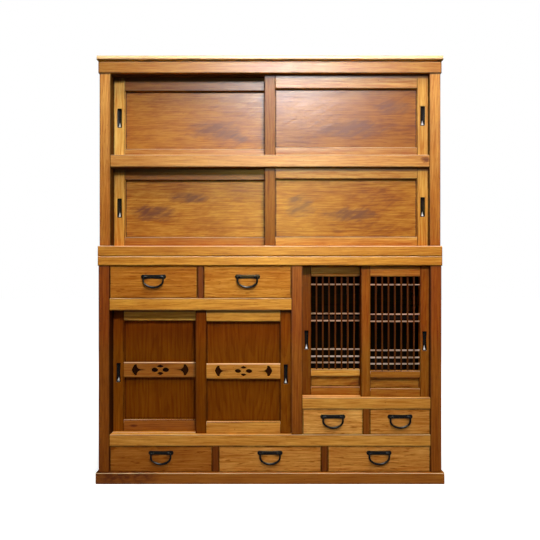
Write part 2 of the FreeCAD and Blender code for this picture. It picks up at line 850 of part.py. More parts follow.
def openwork_cutters(middle_x, middle_z, y_front, y_back):
    """Two petals and two crests round an eye, and a leaf with a stalk at each side."""
    faces = []
    for sign in (-1, 1):
        faces.append(leaf(middle_x, middle_z, sign, y_front))
        faces.append(petal(middle_x + sign * petal_offset, middle_z, y_front))
        faces.append(crest(middle_x, middle_z, sign, y_front))
    depth = FreeCAD.Vector(0, y_back - y_front, 0)
    cutters = [face.extrude(depth) for face in faces]
    eye = Part.makeCylinder(
        flower_eye_radius, depth.y, FreeCAD.Vector(middle_x, y_front, middle_z), FreeCAD.Vector(0, 1, 0)
    )
    return cutters + [eye]


def door_places(opening_x, stile_width):
    """The left door in the back track and the right door in the front track, their stiles overlapping."""
    width = (opening_x[1] - opening_x[0] - 2 * door_end_gap + stile_width) / 2
    left = (opening_x[0] + door_end_gap, opening_x[0] + door_end_gap + width)
    right = (opening_x[1] - door_end_gap - width, opening_x[1] - door_end_gap)
    front_face = front + front_track_recess
    return (("left", left, front_face + track_pitch), ("right", right, front_face))


def pull_middle(side, x, stile_width):
    """The pull sits in the outer stile, at the side where the door closes."""
    return x[0] + stile_width / 2 if side == "left" else x[1] - stile_width / 2


def make_board_doors(name, opening, head_rail, foot_rail, pull_share):
    """A pair of sliding doors with one wide board each."""
    opening_x = (-upper_inner, upper_inner)
    foot = opening[0] + door_gap
    head = opening[1] - door_gap
    pull_z = foot + (head - foot) * pull_share
    for side, x, face in door_places(opening_x, upper_stile_width):
        rails = ((foot, opening[0] + foot_rail), (opening[1] - head_rail, head))
        stiles, rail_solids, inside = door_frame(x, face, opening, upper_stile_width, rails)
        panel, groove = panel_between(inside, face, (rails[0][1], rails[1][0]))
        pull, pocket = make_pull(pull_middle(side, x, upper_stile_width), pull_z, face, 0)
        members = [member.cut([groove, pocket]) for member in stiles + rail_solids]
        save(f"{name}_{side}_door_frame", members)
        save(f"{name}_{side}_door_panel", [panel])
        save(f"{name}_{side}_door_pull", [pull])


def make_openwork_doors():
    """A pair of sliding doors, each with an upright board and a pierced band across it."""
    opening_x = (-lower_inner, divider_left)
    opening = (door_sill_top, drawer_rail_foot)
    foot = opening[0] + door_gap
    head = opening[1] - door_gap
    pull_z = foot + (head - foot) * openwork_pull_height_share
    band_z = (opening[0] + band_foot_height, opening[0] + band_foot_height + band_height)
    for side, x, face in door_places(opening_x, openwork_stile_width):
        rails = ((foot, opening[0] + openwork_foot_rail), (opening[1] - openwork_head_rail, head))
        stiles, rail_solids, inside = door_frame(x, face, opening, openwork_stile_width, rails)
        panel, groove = panel_between(inside, face, (rails[0][1], rails[1][0]), door_panel_recess + band_set_back)
        panel_front = face + door_panel_recess + band_set_back
        band_y = (face + band_set_back, panel_front)
        band = block(grown(inside, door_panel_tongue), band_y, band_z)
        band = chamfered_top(band, band_chamfer, band_y[0], band_z[1])
        band_housing = block(
            grown(inside, door_panel_tongue + tenon_play), (band_y[0] - tenon_play, panel_front), band_z
        )
        middle_x = (inside[0] + inside[1]) / 2
        middle_z = (band_z[0] + band_z[1]) / 2
        holes = openwork_cutters(middle_x, middle_z, band_y[0] - overrun, panel_front + overrun)
        pull, pocket = make_pull(pull_middle(side, x, openwork_stile_width), pull_z, face, pull_waist)
        members = [member.cut([groove, pocket, band_housing]) for member in stiles + rail_solids]
        save(f"openwork_{side}_door_frame", members)
        save(f"openwork_{side}_door_panel", [panel])
        save(f"openwork_{side}_door_band", [band.cut(holes)])
        save(f"openwork_{side}_door_pull", [pull])


def lattice_bars(inside, face, z):
    """Upright bars in front, level bars let into them from behind, all set into the frame."""
    y = (face + lattice_bar_set_back, face + lattice_bar_set_back + lattice_bar_thickness)
    level_y = (y[1] - lattice_lap, y[1] - lattice_lap + lattice_level_bar_thickness)
    width = inside[1] - inside[0]
    cell = (width - lattice_bar_count * lattice_bar_width) / (lattice_bar_count + 1)
    uprights = []
    for i in range(lattice_bar_count):
        left = inside[0] + cell + i * (cell + lattice_bar_width)
        uprights.append(block((left, left + lattice_bar_width), y, grown(z, lattice_bar_tongue)))
    levels = []
    notches = []
    for share in level_bar_height_shares:
        middle = z[0] + (z[1] - z[0]) * share
        bar_z = centred(middle, lattice_level_bar_height)
        bar_x = grown(inside, lattice_bar_tongue)
        levels.append(block(bar_x, level_y, bar_z))
        notches.append(
            block(
                grown(bar_x, overrun),
                (level_y[0] - lattice_play, level_y[1] + overrun),
                grown(bar_z, lattice_play),
            )
        )
    uprights = [bar.cut(notches) for bar in uprights]
    return uprights + levels


def bar_sockets(bars):
    """Blind sockets in the frame for the ends of the bars, with a little play."""
    sockets = []
    for bar in bars:
        box = bar.BoundBox
        sockets.append(
            block(
                grown((box.XMin, box.XMax), tenon_play),
                grown((box.YMin, box.YMax), tenon_play),
                grown((box.ZMin, box.ZMax), tenon_play),
            )
        )
    return sockets


def make_lattice_doors():
    """A pair of sliding doors with a lattice over a small board."""
    opening_x = (divider_right, lower_inner)
    opening = (lattice_sill_top, lower_head_foot)
    foot = opening[0] + door_gap
    head = opening[1] - door_gap
    pull_z = foot + (head - foot) * lattice_pull_height_share
    foot_rail_top = opening[0] + lattice_foot_rail
    middle_foot = foot_rail_top + lattice_panel_height
    middle_top = middle_foot + lattice_middle_rail
    head_rail_foot = opening[1] - lattice_head_rail
    for side, x, face in door_places(opening_x, lattice_stile_width):
        rails = ((foot, foot_rail_top), (middle_foot, middle_top), (head_rail_foot, head))
        stiles, rail_solids, inside = door_frame(x, face, opening, lattice_stile_width, rails)
        panel, groove = panel_between(inside, face, (foot_rail_top, middle_foot))
        bars = lattice_bars(inside, face, (middle_top, head_rail_foot))
        pull, pocket = make_pull(pull_middle(side, x, lattice_stile_width), pull_z, face, pull_waist)
        cutters = [groove, pocket] + bar_sockets(bars)
        save(f"lattice_{side}_door_frame", [housed(member, cutters) for member in stiles + rail_solids])
        save(f"lattice_{side}_door_panel", [panel])
        save(f"lattice_{side}_door_lattice", bars)
        save(f"lattice_{side}_door_pull", [pull])


# Drawers


def stud_middles(middle_x):
    return middle_x - stud_spacing / 2, middle_x + stud_spacing / 2


def drawer_box(x, z, handle_z):
    """Front, two sides let into rebates of the front, a back and a bottom in grooves."""
    front_x = grown(x, -drawer_gap)
    face = front + drawer_front_recess
    front_z = (z[0] + drawer_floor_play, z[1] - drawer_gap)
    front_back = face + drawer_front_thickness
    end = face + drawer_depth
    side_top = front_z[1] - drawer_side_drop
    front_board = block(front_x, (face, front_back), front_z)
    left_x = (front_x[0] + drawer_side_inset, front_x[0] + drawer_side_inset + drawer_side_thickness)
    right_x = (front_x[1] - drawer_side_inset - drawer_side_thickness, front_x[1] - drawer_side_inset)
    side_y = (front_back - drawer_rebate, end)
    side_z = (front_z[0], side_top)
    left = block(left_x, side_y, side_z)
    right = block(right_x, side_y, side_z)
    rebates = [
        block((front_x[0] - overrun, left_x[1]), (side_y[0], front_back + overrun), (z[0] - overrun, side_top)),
        block((right_x[0], front_x[1] + overrun), (side_y[0], front_back + overrun), (z[0] - overrun, side_top)),
    ]
    inside = (left_x[1], right_x[0])
    back_y = (end - drawer_side_thickness - drawer_rebate, end - drawer_rebate)
    rear = block(inside, back_y, (front_z[0], front_z[1] - drawer_back_drop))
    bottom_z = (front_z[0] + drawer_bottom_lift, front_z[0] + drawer_bottom_lift + drawer_bottom_thickness)
    bottom_y = (front_back, back_y[0])
    bottom = block(grown(inside, drawer_bottom_tongue), grown(bottom_y, drawer_bottom_tongue), bottom_z)
    groove = block(
        grown(inside, drawer_bottom_tongue + drawer_bottom_play),
        grown(bottom_y, drawer_bottom_tongue + drawer_bottom_play),
        grown(bottom_z, drawer_bottom_play),
    )
    middle_x = (x[0] + x[1]) / 2
    holes = [
        Part.makeCylinder(
            stud_shank_radius + stud_hole_play,
            drawer_front_thickness + 2 * overrun,
            FreeCAD.Vector(stud_x, face - overrun, handle_z),
            FreeCAD.Vector(0, 1, 0),
        )
        for stud_x in stud_middles(middle_x)
    ]
    front_board = front_board.cut(rebates + holes + [groove])
    return [front_board, left.cut(groove), right.cut(groove), rear.cut(groove), bottom]


def plate_outline(middle_x, middle_z, y):
    """A long bar plate whose ends flare a little and close in a shallow arc."""
    half = handle_plate_length / 2
    waist = handle_plate_height / 2
    flare = waist + handle_plate_flare
    flare_x = half - waist

    def point(x, z):
        return FreeCAD.Vector(middle_x + x, y, middle_z + z)

    edges = [
        Part.Arc(point(-flare_x, flare), point(0, waist), point(flare_x, flare)).toShape(),
        Part.Arc(point(flare_x, flare), point(half, 0), point(flare_x, -flare)).toShape(),
        Part.Arc(point(flare_x, -flare), point(0, -waist), point(-flare_x, -flare)).toShape(),
        Part.Arc(point(-flare_x, -flare), point(-half, 0), point(-flare_x, flare)).toShape(),
    ]
    return Part.Face(Part.Wire(edges))


def make_stud(x, z, face):
    """A round-headed stud with a cross bore for the bail, its split legs clenched behind the drawer front."""
    out = FreeCAD.Vector(0, -1, 0)
    inwards = FreeCAD.Vector(0, 1, 0)
    plate_front = face - handle_plate_thickness
    head_y = plate_front - stud_stand_off
    head = Part.makeSphere(stud_head_radius, FreeCAD.Vector(x, head_y, z))
    neck = Part.makeCylinder(stud_neck_radius, stud_stand_off, FreeCAD.Vector(x, plate_front, z), out)
    shank_length = handle_plate_thickness + drawer_front_thickness + stud_leg_thickness
    shank = Part.makeCylinder(stud_shank_radius, shank_length, FreeCAD.Vector(x, plate_front, z), inwards)
    leg_y = (face + drawer_front_thickness, face + drawer_front_thickness + stud_leg_thickness)
    legs = block(centred(x, stud_leg_length), leg_y, centred(z, 2 * stud_shank_radius))
    bore = Part.makeCylinder(
        bail_pin_radius + bail_pin_play,
        2 * (stud_head_radius + overrun),
        FreeCAD.Vector(x - stud_head_radius - overrun, head_y, z),
        FreeCAD.Vector(1, 0, 0),
    )
    return head.fuse([neck, shank, legs]).removeSplitter().cut(bore)


def make_handle_plate(middle_x, middle_z, face):
    plate = plate_outline(middle_x, middle_z, face - handle_plate_thickness)
    plate = plate.extrude(FreeCAD.Vector(0, handle_plate_thickness, 0))
    holes = [
        Part.makeCylinder(
            stud_shank_radius + stud_hole_play,
            handle_plate_thickness + 2 * overrun,
            FreeCAD.Vector(x, face - handle_plate_thickness - overrun, middle_z),
            FreeCAD.Vector(0, 1, 0),
        )
        for x in stud_middles(middle_x)
    ]
    studs = [make_stud(x, middle_z, face) for x in stud_middles(middle_x)]
    return [plate.cut(holes)] + studs


def handle_axis_y(face):
    """The line that the bail turns on."""
    return face - handle_plate_thickness - stud_stand_off


def make_bail(middle_x, axis_z, axis_y):
    """A round bar bent to a flat-bottomed D, its ends turned in as pins that sit in the studs."""
    pin_x = stud_spacing / 2 + stud_head_radius
    turn = bail_turn_radius
    half = pin_x + turn
    side_foot = -turn - bail_side_length
    fall = bail_drop + side_foot
    corner = fall * bail_corner_share
    across = half - corner
    bow = (fall**2 + across**2 - corner**2) / (2 * (fall - corner))
    bow_z = bow - bail_drop
    slope = math.atan2(side_foot - bow_z, across)

    def point(x, z):
        return FreeCAD.Vector(middle_x + x, axis_y, axis_z + z)

    def on_corner(side, angle):
        return point(side * (across + corner * math.cos(angle)), side_foot + corner * math.sin(angle))

    def turn_point(side, angle):
        return point(side * (pin_x + turn * math.sin(angle)), -turn + turn * math.cos(angle))

    quarter = math.pi / 2
    edges = [
        Part.Arc(turn_point(-1, 0), turn_point(-1, quarter / 2), turn_point(-1, quarter)).toShape(),
        Part.LineSegment(point(-half, -turn), point(-half, side_foot)).toShape(),
        Part.Arc(on_corner(-1, 0), on_corner(-1, slope / 2), on_corner(-1, slope)).toShape(),
        Part.Arc(on_corner(-1, slope), point(0, -bail_drop), on_corner(1, slope)).toShape(),
        Part.Arc(on_corner(1, slope), on_corner(1, slope / 2), on_corner(1, 0)).toShape(),
        Part.LineSegment(point(half, side_foot), point(half, -turn)).toShape(),
        Part.Arc(turn_point(1, quarter), turn_point(1, quarter / 2), turn_point(1, 0)).toShape(),
    ]
    path = Part.Wire(edges)
    section = Part.Wire(Part.makeCircle(bail_radius, turn_point(-1, 0), FreeCAD.Vector(-1, 0, 0)))
    bar = path.makePipeShell([section], True, False)
    pins = []
    for side in (-1, 1):
        inward = FreeCAD.Vector(-side, 0, 0)
        pins.append(Part.makeCylinder(bail_pin_radius, 2 * stud_head_radius, turn_point(side, 0), inward))
    return bar.fuse(pins).removeSplitter()


def drawer_rows():
    """Each drawer by name: its opening across and up, and where its handle sits."""
    upper_middle = (-lower_inner + divider_left) / 2
    half_upper = upper_drawer_divider_width / 2
    small_middle = (divider_right + lower_inner) / 2
    half_small = small_drawer_divider_width / 2
    first, second = bottom_divider_middles()
    half_bottom = bottom_drawer_divider_width / 2
    upper_z = (drawer_rail_top, lower_head_foot)
    small_z = (door_sill_top, lattice_sill_foot)
    bottom_z = (plinth_top, door_sill_foot)
    return (
        ("upper_left", (-lower_inner, upper_middle - half_upper), upper_z, upper_handle_height_share),
        ("upper_right", (upper_middle + half_upper, divider_left), upper_z, upper_handle_height_share),
        ("small_left", (divider_right, small_middle - half_small), small_z, small_handle_height_share),
        ("small_right", (small_middle + half_small, lower_inner), small_z, small_handle_height_share),
        ("bottom_left", (-lower_inner, first - half_bottom), bottom_z, bottom_handle_height_share),
        ("bottom_middle", (first + half_bottom, second - half_bottom), bottom_z, bottom_handle_height_share),
        ("bottom_right", (second + half_bottom, lower_inner), bottom_z, bottom_handle_height_share),
    )


def make_drawers():
    face = front + drawer_front_recess
    for name, x, z, share in drawer_rows():
        middle_x = (x[0] + x[1]) / 2
        handle_z = z[0] + (z[1] - z[0]) * share
        save(f"{name}_drawer_box", drawer_box(x, z, handle_z))
        save(f"{name}_drawer_handle_plate", make_handle_plate(middle_x, handle_z, face))
        save(f"{name}_drawer_bail", [make_bail(middle_x, handle_z, handle_axis_y(face))])


os.makedirs("parts", exist_ok=True)
make_carcass()
middle_opening = (upper_sill_top, middle_rail_foot)
top_opening = (middle_rail_top, frieze_foot)
make_board_doors("middle", middle_opening, middle_door_head_rail, middle_door_foot_rail, middle_pull_height_share)
make_board_doors("top", top_opening, top_door_head_rail, top_door_foot_rail, top_pull_height_share)
make_openwork_doors()
make_lattice_doors()
make_drawers()
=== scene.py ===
"""Mizuya kitchen cabinet: its looks, stage and camera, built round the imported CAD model.

Metres, +Z up, the front faces -Y. Every board is the CAD board with eased edges and a wood grain that
follows its own length. The iron handles and finger pulls are surfaces worked out on grids.
"""

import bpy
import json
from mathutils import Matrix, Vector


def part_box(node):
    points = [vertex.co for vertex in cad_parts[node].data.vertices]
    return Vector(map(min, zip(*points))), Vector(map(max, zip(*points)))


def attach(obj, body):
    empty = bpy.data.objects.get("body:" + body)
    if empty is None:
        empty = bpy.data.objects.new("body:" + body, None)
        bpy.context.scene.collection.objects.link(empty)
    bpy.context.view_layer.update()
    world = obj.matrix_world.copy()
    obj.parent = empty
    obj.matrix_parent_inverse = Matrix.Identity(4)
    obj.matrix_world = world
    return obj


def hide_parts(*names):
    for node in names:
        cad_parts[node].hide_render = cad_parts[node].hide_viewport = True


bl_info = {
    "name": "Mizuya Kitchen Cabinet",
    "version": (1, 0, 0),
    "blender": (4, 5, 0),
    "location": "View3D > Sidebar > Mizuya",
    "description": "Boards, iron handles, finger pulls and stage of a mizuya kitchen cabinet",
    "category": "Add Mesh",
}

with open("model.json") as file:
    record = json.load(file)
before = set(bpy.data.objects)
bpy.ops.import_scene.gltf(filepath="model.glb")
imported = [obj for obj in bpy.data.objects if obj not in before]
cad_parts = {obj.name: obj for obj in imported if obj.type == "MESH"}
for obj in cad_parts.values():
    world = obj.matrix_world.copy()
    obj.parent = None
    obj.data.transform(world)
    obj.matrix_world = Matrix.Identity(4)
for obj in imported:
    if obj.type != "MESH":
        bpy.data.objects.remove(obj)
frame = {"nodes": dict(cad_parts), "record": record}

import json
import math
from types import SimpleNamespace

import bmesh
import bpy
import numpy as np

MM = 0.001
FRONT = -0.212
PANEL_TONGUE = 8 * MM
NODES = sorted(frame["nodes"])
BODY_OF = {node: body for body, nodes in frame["record"]["behaviour"]["bodies"].items() for node in nodes}


# Sizes and colours that a user would change


def length(name, description, default):
    return bpy.props.FloatProperty(
        name=name, description=description, default=default, subtype="DISTANCE", unit="LENGTH", min=0.0
    )


def share(name, description, default):
    return bpy.props.FloatProperty(name=name, description=description, default=default, min=0.0, max=2.0)


def power(name, description, default):
    return bpy.props.FloatProperty(name=name, description=description, default=default, unit="POWER", min=0.0)


def tint(name, description, default):
    return bpy.props.FloatVectorProperty(
        name=name, description=description, default=default, subtype="COLOR", size=3, min=0.0, max=1.0
    )


class MizuyaWood(bpy.types.PropertyGroup):
    """Colours of the lacquered boards, and how far their edges are eased."""

    case_light: tint("Case, light grain", "Early wood of rails and ledges", (0.68, 0.262, 0.034))
    case_dark: tint("Case, dark grain", "Late wood of rails and ledges", (0.42, 0.145, 0.013))
    post_light: tint("Posts, light grain", "Early wood of posts and dividers", (0.46, 0.168, 0.02))
    post_dark: tint("Posts, dark grain", "Late wood of posts and dividers", (0.27, 0.088, 0.008))
    door_light: tint("Door frames, light grain", "Early wood of stiles and rails", (0.62, 0.272, 0.036))
    door_dark: tint("Door frames, dark grain", "Late wood of stiles and rails", (0.38, 0.118, 0.01))
    panel_light: tint("Board panels, light grain", "Early wood of the four wide panels", (0.76, 0.33, 0.04))
    panel_dark: tint("Board panels, dark grain", "Late wood of the four wide panels", (0.36, 0.12, 0.014))
    deep_light: tint("Openwork doors, light grain", "Early wood of the openwork doors", (0.235, 0.092, 0.008))
    deep_dark: tint("Openwork doors, dark grain", "Late wood of the openwork doors", (0.13, 0.048, 0.004))
    drawer_light: tint("Drawers, light grain", "Early wood of the drawer fronts", (0.6, 0.226, 0.036))
    drawer_dark: tint("Drawers, dark grain", "Late wood of the drawer fronts", (0.32, 0.102, 0.013))
    lattice_light: tint("Lattice, light grain", "Early wood of the lattice bars", (0.124, 0.060, 0.042))
    lattice_dark: tint("Lattice, dark grain", "Late wood of the lattice bars", (0.070, 0.032, 0.022))
    level_light: tint("Level bars, light grain", "Early wood of the lattice's level bars", (0.56, 0.42, 0.35))
    level_dark: tint("Level bars, dark grain", "Late wood of the lattice's level bars", (0.36, 0.23, 0.18))
    # Painted shade: the inside of the cases is painted near black for the shade in it.
    inside: tint("Inside", "Old smoke-dark wood inside the cases", (0.008, 0.0035, 0.002))
    smudge: tint("Smudge", "Purple-brown patches in the wide panels", (0.15, 0.048, 0.022))
    # Painted highlight: the upper edges are painted this pale colour for the light that catches them.
    rubbed: tint("Highlit edge", "Upper edges that hands and cloths have rubbed pale", (0.95, 0.66, 0.40))
    # Near-black for the lines along the joints, partly dirt and partly painted shade, and painted shade on
    # the posts' inner sides and inside the cases.
    joint_dirt_and_shade: tint("Soot", "Near-black lines along the joints", (0.016, 0.006, 0.002))
    grime: tint("Grime", "What has gathered in corners and along joints", (0.045, 0.017, 0.006))
    # Painted shadow: the shade close under the front rails.
    rail_shade: tint("Shadow", "Grey-brown dust close under the front rails", (0.056, 0.020, 0.014))
    edge_width: length("Edge easing", "Rounding of the outer edges of the boards", 0.0016)
    fine_edge_width: length("Fine edge easing", "Rounding of the lattice bars and panels", 0.0005)


class MizuyaIron(bpy.types.PropertyGroup):
    """Sizes and colours of the iron handles and finger pulls."""

    iron: tint("Iron", "Blackened iron", (0.006, 0.005, 0.004))
    rust: tint("Rust", "Brown bloom on the iron", (0.018, 0.009, 0.004))
    wear_and_highlight: tint("Worn iron", "Iron rubbed bright", (0.07, 0.065, 0.06))
    # Painted highlight: the pale foot of each finger pull's cup.
    bright: tint("Bright iron", "Foot of the finger pulls, polished by fingertips", (0.66, 0.64, 0.6))
    stud_spacing: length("Stud spacing", "Between the middles of the two studs", 0.060)
    stud_radius: length("Stud head", "Radius of a stud's round head", 0.005)
    bail_turn: length("Bail turn", "Radius of the turn at each end of the bail", 0.0045)
    bail_side: length("Bail side", "Straight part of the bail below each turn", 0.010)
    bail_drop: length("Bail drop", "From the bail's axis to the lowest point of its centreline", 0.043)
    bail_corner: share("Bail corner", "Corner radius as a share of the fall below the sides", 0.772)
    bail_radius: length("Bail thickness", "Half of the bail's thickness at its sides", 0.00355)
    bail_swell: share("Bail swell", "How much thicker the bail is at the bottom", 0.28)
    plate_rim: length("Plate thickness", "Thickness of the handle plate", 0.0018)


class MizuyaStudio(bpy.types.PropertyGroup):
    """Camera and lamps."""

    camera_distance: length("Camera distance", "From the front of the posts", 2.31)
    camera_height: length("Camera height", "Above the floor", 0.8532)
    view_width: length("View width", "What the picture spans at the front of the posts", 2.16)
    key_power: power("Key lamp", "Power of the high lamp in front", 20.0)
    top_power: power("Top lamp", "Power of the overhead lamp", 50.0)
    ceiling_power: power("Ceiling lamp", "Power of the lamp over the front", 14.0)
    back_power: power("Back lamp", "Power of the lamp behind", 45.0)
    gloss_power: power("Gloss lamp", "Power of the lamps that show in glossy surfaces alone", 520.0)
    surround: share("Surround", "Strength of the light from all round", 0.035)


# Shader nodes from arithmetic


def math_node(operation, turned=False):
    """A method of Value that adds the Math node for operation; turned puts the value itself second."""

    def method(self, *others):
        operands = (*others, self) if turned else (self, *others)
        return self.nodes.make("ShaderNodeMath", {"operation": operation}, operands)

    return method


class Value:
    """A shader output that takes arithmetic: each operator adds the Math node for it."""

    __add__ = __radd__ = math_node("ADD")
    __sub__ = math_node("SUBTRACT")
    __rsub__ = math_node("SUBTRACT", turned=True)
    __mul__ = __rmul__ = math_node("MULTIPLY")
    __truediv__ = math_node("DIVIDE")
    __pow__ = math_node("POWER")
    __abs__ = math_node("ABSOLUTE")
    least = math_node("MINIMUM")
    most = math_node("MAXIMUM")
    root = math_node("SQRT")
    fraction = math_node("FRACT")

    def __init__(self, nodes, socket):
        self.nodes = nodes
        self.socket = socket

    def clamped(self):
        return self.nodes.make("ShaderNodeMath", {"operation": "ADD", "use_clamp": True}, (self, 0.0))

    def rise(self, low, high):
        """0 below low, 1 above high and smooth between; high below low gives a fall."""
        stops = (self, low, high, 0.0, 1.0) if high >= low else (self, high, low, 1.0, 0.0)
        return self.nodes.make("ShaderNodeMapRange", {"interpolation_type": "SMOOTHSTEP"}, stops)


class Nodes:
    """The nodes of one material or world."""

    def __init__(self, owner):
        owner.use_nodes = True
        self.tree = owner.node_tree
        self.tree.nodes.clear()

    def make(self, kind, settings=(), inputs=(), output=0):
        """Adds a node: its settings first, then its inputs, each a number, a colour or another output."""
        node = self.tree.nodes.new(kind)
        for name, setting in dict(settings).items():
            setattr(node, name, setting)
        pairs = inputs.items() if isinstance(inputs, dict) else enumerate(inputs)
        for name, given in pairs:
            if isinstance(given, Value):
                self.tree.links.new(given.socket, node.inputs[name])
            else:
                node.inputs[name].default_value = given
        return Value(self, node.outputs[output])

    def attribute(self, name, output):
        """output 1 is the attribute as a vector, 2 as a number."""
        return self.make("ShaderNodeAttribute", {"attribute_name": name}, (), output)

    def parts(self, vector):
        split = self.tree.nodes.new("ShaderNodeSeparateXYZ")
        self.tree.links.new(vector.socket, split.inputs[0])
        return [Value(self, socket) for socket in split.outputs]

    def joined(self, x, y, z):
        return self.make("ShaderNodeCombineXYZ", (), (x, y, z))

    def stretched(self, vector, factors):
        return self.make("ShaderNodeVectorMath", {"operation": "MULTIPLY"}, (vector, factors))

    def scaled(self, vector, factor):
        return self.make("ShaderNodeVectorMath", {"operation": "SCALE"}, {0: vector, "Scale": factor})

    def noise(self, vector, scale, detail=2.0, rough=0.5, distortion=0.0):
        inputs = {"Vector": vector, "Scale": scale, "Detail": detail, "Roughness": rough}
        inputs["Distortion"] = distortion
        return self.make("ShaderNodeTexNoise", {"noise_dimensions": "3D"}, inputs)

    def cells(self, vector, scale):
        """Distance to the nearest of the scattered points."""
        return self.make("ShaderNodeTexVoronoi", {"feature": "F1"}, {"Vector": vector, "Scale": scale})

    def mixed(self, factor, first, second):
        settings = {"data_type": "RGBA", "clamp_factor": True}
        return self.make("ShaderNodeMix", settings, {0: factor, 6: colour(first), 7: colour(second)}, 2)

    def bump(self, height, strength, distance, normal=None):
        inputs = {"Strength": strength, "Distance": distance, "Height": height}
        if normal:
            inputs["Normal"] = normal
        return self.make("ShaderNodeBump", (), inputs)

    def surface(self, shader):
        end = self.tree.nodes.new("ShaderNodeOutputMaterial")
        self.tree.links.new(shader.socket, end.inputs["Surface"])


def colour(given):
    """A colour with its fourth number, or a link as it is."""
    return given if isinstance(given, Value) else (*tuple(given)[:3], 1.0)


# Finishes of the wood. The marks are, in this order: ring, the rings to the metre; swirl, how far the rings
# wander; short, how much shorter the streaks are than on the case; then the strength of late wood, streaks,
# broad bands, cloudy patches, slanting figure, purple-brown smudges, short dark dashes, pores, dark lines
# along the edges that are partly dirt and partly painted shade, and upper edges painted pale as a highlight;
# and at the end shine, the lacquer's roughness, and gloss, how much it reflects.
MARKS = "ring swirl short late streak band cloud figure smudge dash pore rim rubbed shine gloss".split()
FINISHES = {
    "case": (90, 0.7, 1.0, 0.12, 1.4, 0.7, 0.8, 0.2, 0.0, 0.25, 0.30, 0.60, 0.75, 0.33, 0.095),
    "post": (110, 0.4, 1.0, 0.18, 1.4, 0.8, 0.8, 0.1, 0.0, 0.25, 0.30, 0.60, 0.30, 0.36, 0.055),
    "door": (100, 0.5, 1.2, 0.12, 1.4, 0.7, 0.7, 0.2, 0.0, 0.15, 0.25, 0.65, 0.45, 0.34, 0.058),
    "stile": (100, 0.5, 1.2, 0.14, 1.3, 0.7, 0.7, 0.2, 0.0, 0.15, 0.25, 0.65, 0.30, 0.38, 0.031),
    "panel": (60, 1.0, 1.5, 0.05, 1.4, 0.4, 1.5, 0.9, 0.6, 0.15, 0.35, 0.90, 0.0, 0.31, 0.060),
    "deep": (62, 0.9, 1.0, 0.25, 1.0, 0.6, 0.8, 0.2, 0.0, 0.15, 0.30, 0.60, 0.2, 0.42, 0.012),
    "sheltered": (62, 1.6, 1.0, 0.30, 0.8, 0.5, 0.8, 0.2, 0.0, 0.10, 0.20, 0.80, 0.0, 0.42, 0.010),
    "drawer": (80, 0.9, 1.2, 0.12, 1.2, 0.4, 1.0, 0.3, 0.15, 0.60, 0.50, 0.80, 0.30, 0.42, 0.016),
    "lattice": (150, 0.3, 1.0, 0.20, 1.0, 0.8, 0.6, 0.0, 0.0, 0.0, 0.1, 0.0, 0.0, 0.46, 0.020),
    "level": (150, 0.3, 1.0, 0.20, 1.0, 0.8, 0.6, 0.0, 0.0, 0.0, 0.1, 0.0, 0.0, 0.40, 0.020),
    "board": (90, 0.9, 1.0, 0.30, 1.4, 1.2, 1.3, 0.2, 0.3, 0.3, 0.4, 0.2, 0.0, 0.55, 0.020),
}


# Where stains, dirt, wear and painted light and shade change over the cabinet: each pair is where a change
# starts and where it ends
PLINTH_DARK_X = (-0.42, -0.50)
PLINTH_DARK_Z = (0.050, 0.044)
POST_LIGHT_Z = (0.95, 1.65)
GOLDEN_HAZE_Z = (1.08, 1.30)
AMBER_FOOT_Z = (0.50, 0.62)
AMBER_HEAD_Z = (1.00, 0.94)
TOP_BOARD_Z = (1.686, 1.690)
BELOW_TOP_BOARD_Z = (1.69, 1.68)
TOP_FACE_Z = (1.7085, 1.7088)
BACK_FACE_Y = (0.190, 0.185)
POST_INWARD_X = (-0.35, -0.50)
REAR_POST_Y = (0.10, 0.11)
RAIL_SHADOW_Y = (-0.205, -0.200)
INSIDE_X = (0.6672, 0.6652)
INSIDE_BACK_Y = (0.1972, 0.1962)
INSIDE_FRONT_Y = (-0.200, -0.198)
BEHIND_BAND_Y = (-0.10, -0.11)

# What tells one board of a node from another
BEHIND_FRONTS_Y = -0.13
BACK_HALF_Y = 0.1
THIN_STRIP = 5 * MM
UPPER_CASE_Z = 0.95
OPENWORK_MIDDLE_Z = 0.4
LATTICE_HEAD_Z = 0.8
LATTICE_SASH_Z = 0.38
OUTER_STILE_X = 0.3

# Painted shadow close under the case's rails, on the doors: from x, to x, from z, to z
RAIL_SHADOWS = (
    (-0.7, 0.7, 1.626, 1.660),
    (-0.7, 0.7, 1.252, 1.285),
    (-0.7, 0.13, 0.682, 0.705),
    (0.13, 0.7, 0.866, 0.885),
)

# Purple-brown patches in the wide panels: middle x, middle z, half width, half height
PATCHES = (
    (0.335, 1.425, 0.150, 0.042),
    (0.500, 1.510, 0.090, 0.030),
    (-0.128, 1.396, 0.035, 0.022),
    (-0.250, 1.425, 0.130, 0.045),
    (-0.480, 1.088, 0.110, 0.036),
    (-0.340, 1.150, 0.090, 0.026),
    (0.120, 1.110, 0.070, 0.052),
    (0.310, 1.078, 0.120, 0.032),
)

# Dark knots, as the patches: at the right end of the middle shelf and in the left openwork door's foot rail
KNOTS = ((0.622, 1.294, 0.022, 0.016), (-0.556, 0.2175, 0.020, 0.0065))


def rail_shadow(spot):
    """1 on what lies behind the front rails' lower edges, in their shadow, which is painted here as shade."""
    x, y, z = spot
    total = 0.0
    for left, right, low, high in RAIL_SHADOWS:
        between = x.rise(left, left + 2 * MM) * x.rise(right, right - 2 * MM)
        total = total + between * z.rise(low - 4 * MM, low + 4 * MM) * z.rise(high + 2 * MM, high)
    return total * y.rise(*RAIL_SHADOW_Y)


def patched(spot, patches, ragged):
    """1 in the middle of each patch, falling to nought at its ragged edge."""
    x, _, z = spot
    total = 0.0
    for middle_x, middle_z, half_width, half_height in patches:
        across = (x - middle_x) / half_width
        up = (z - middle_z) / half_height
        total = total + (1.0 - across * across - up * up + (ragged - 0.5) * 4.0).clamped()
    return total.clamped()


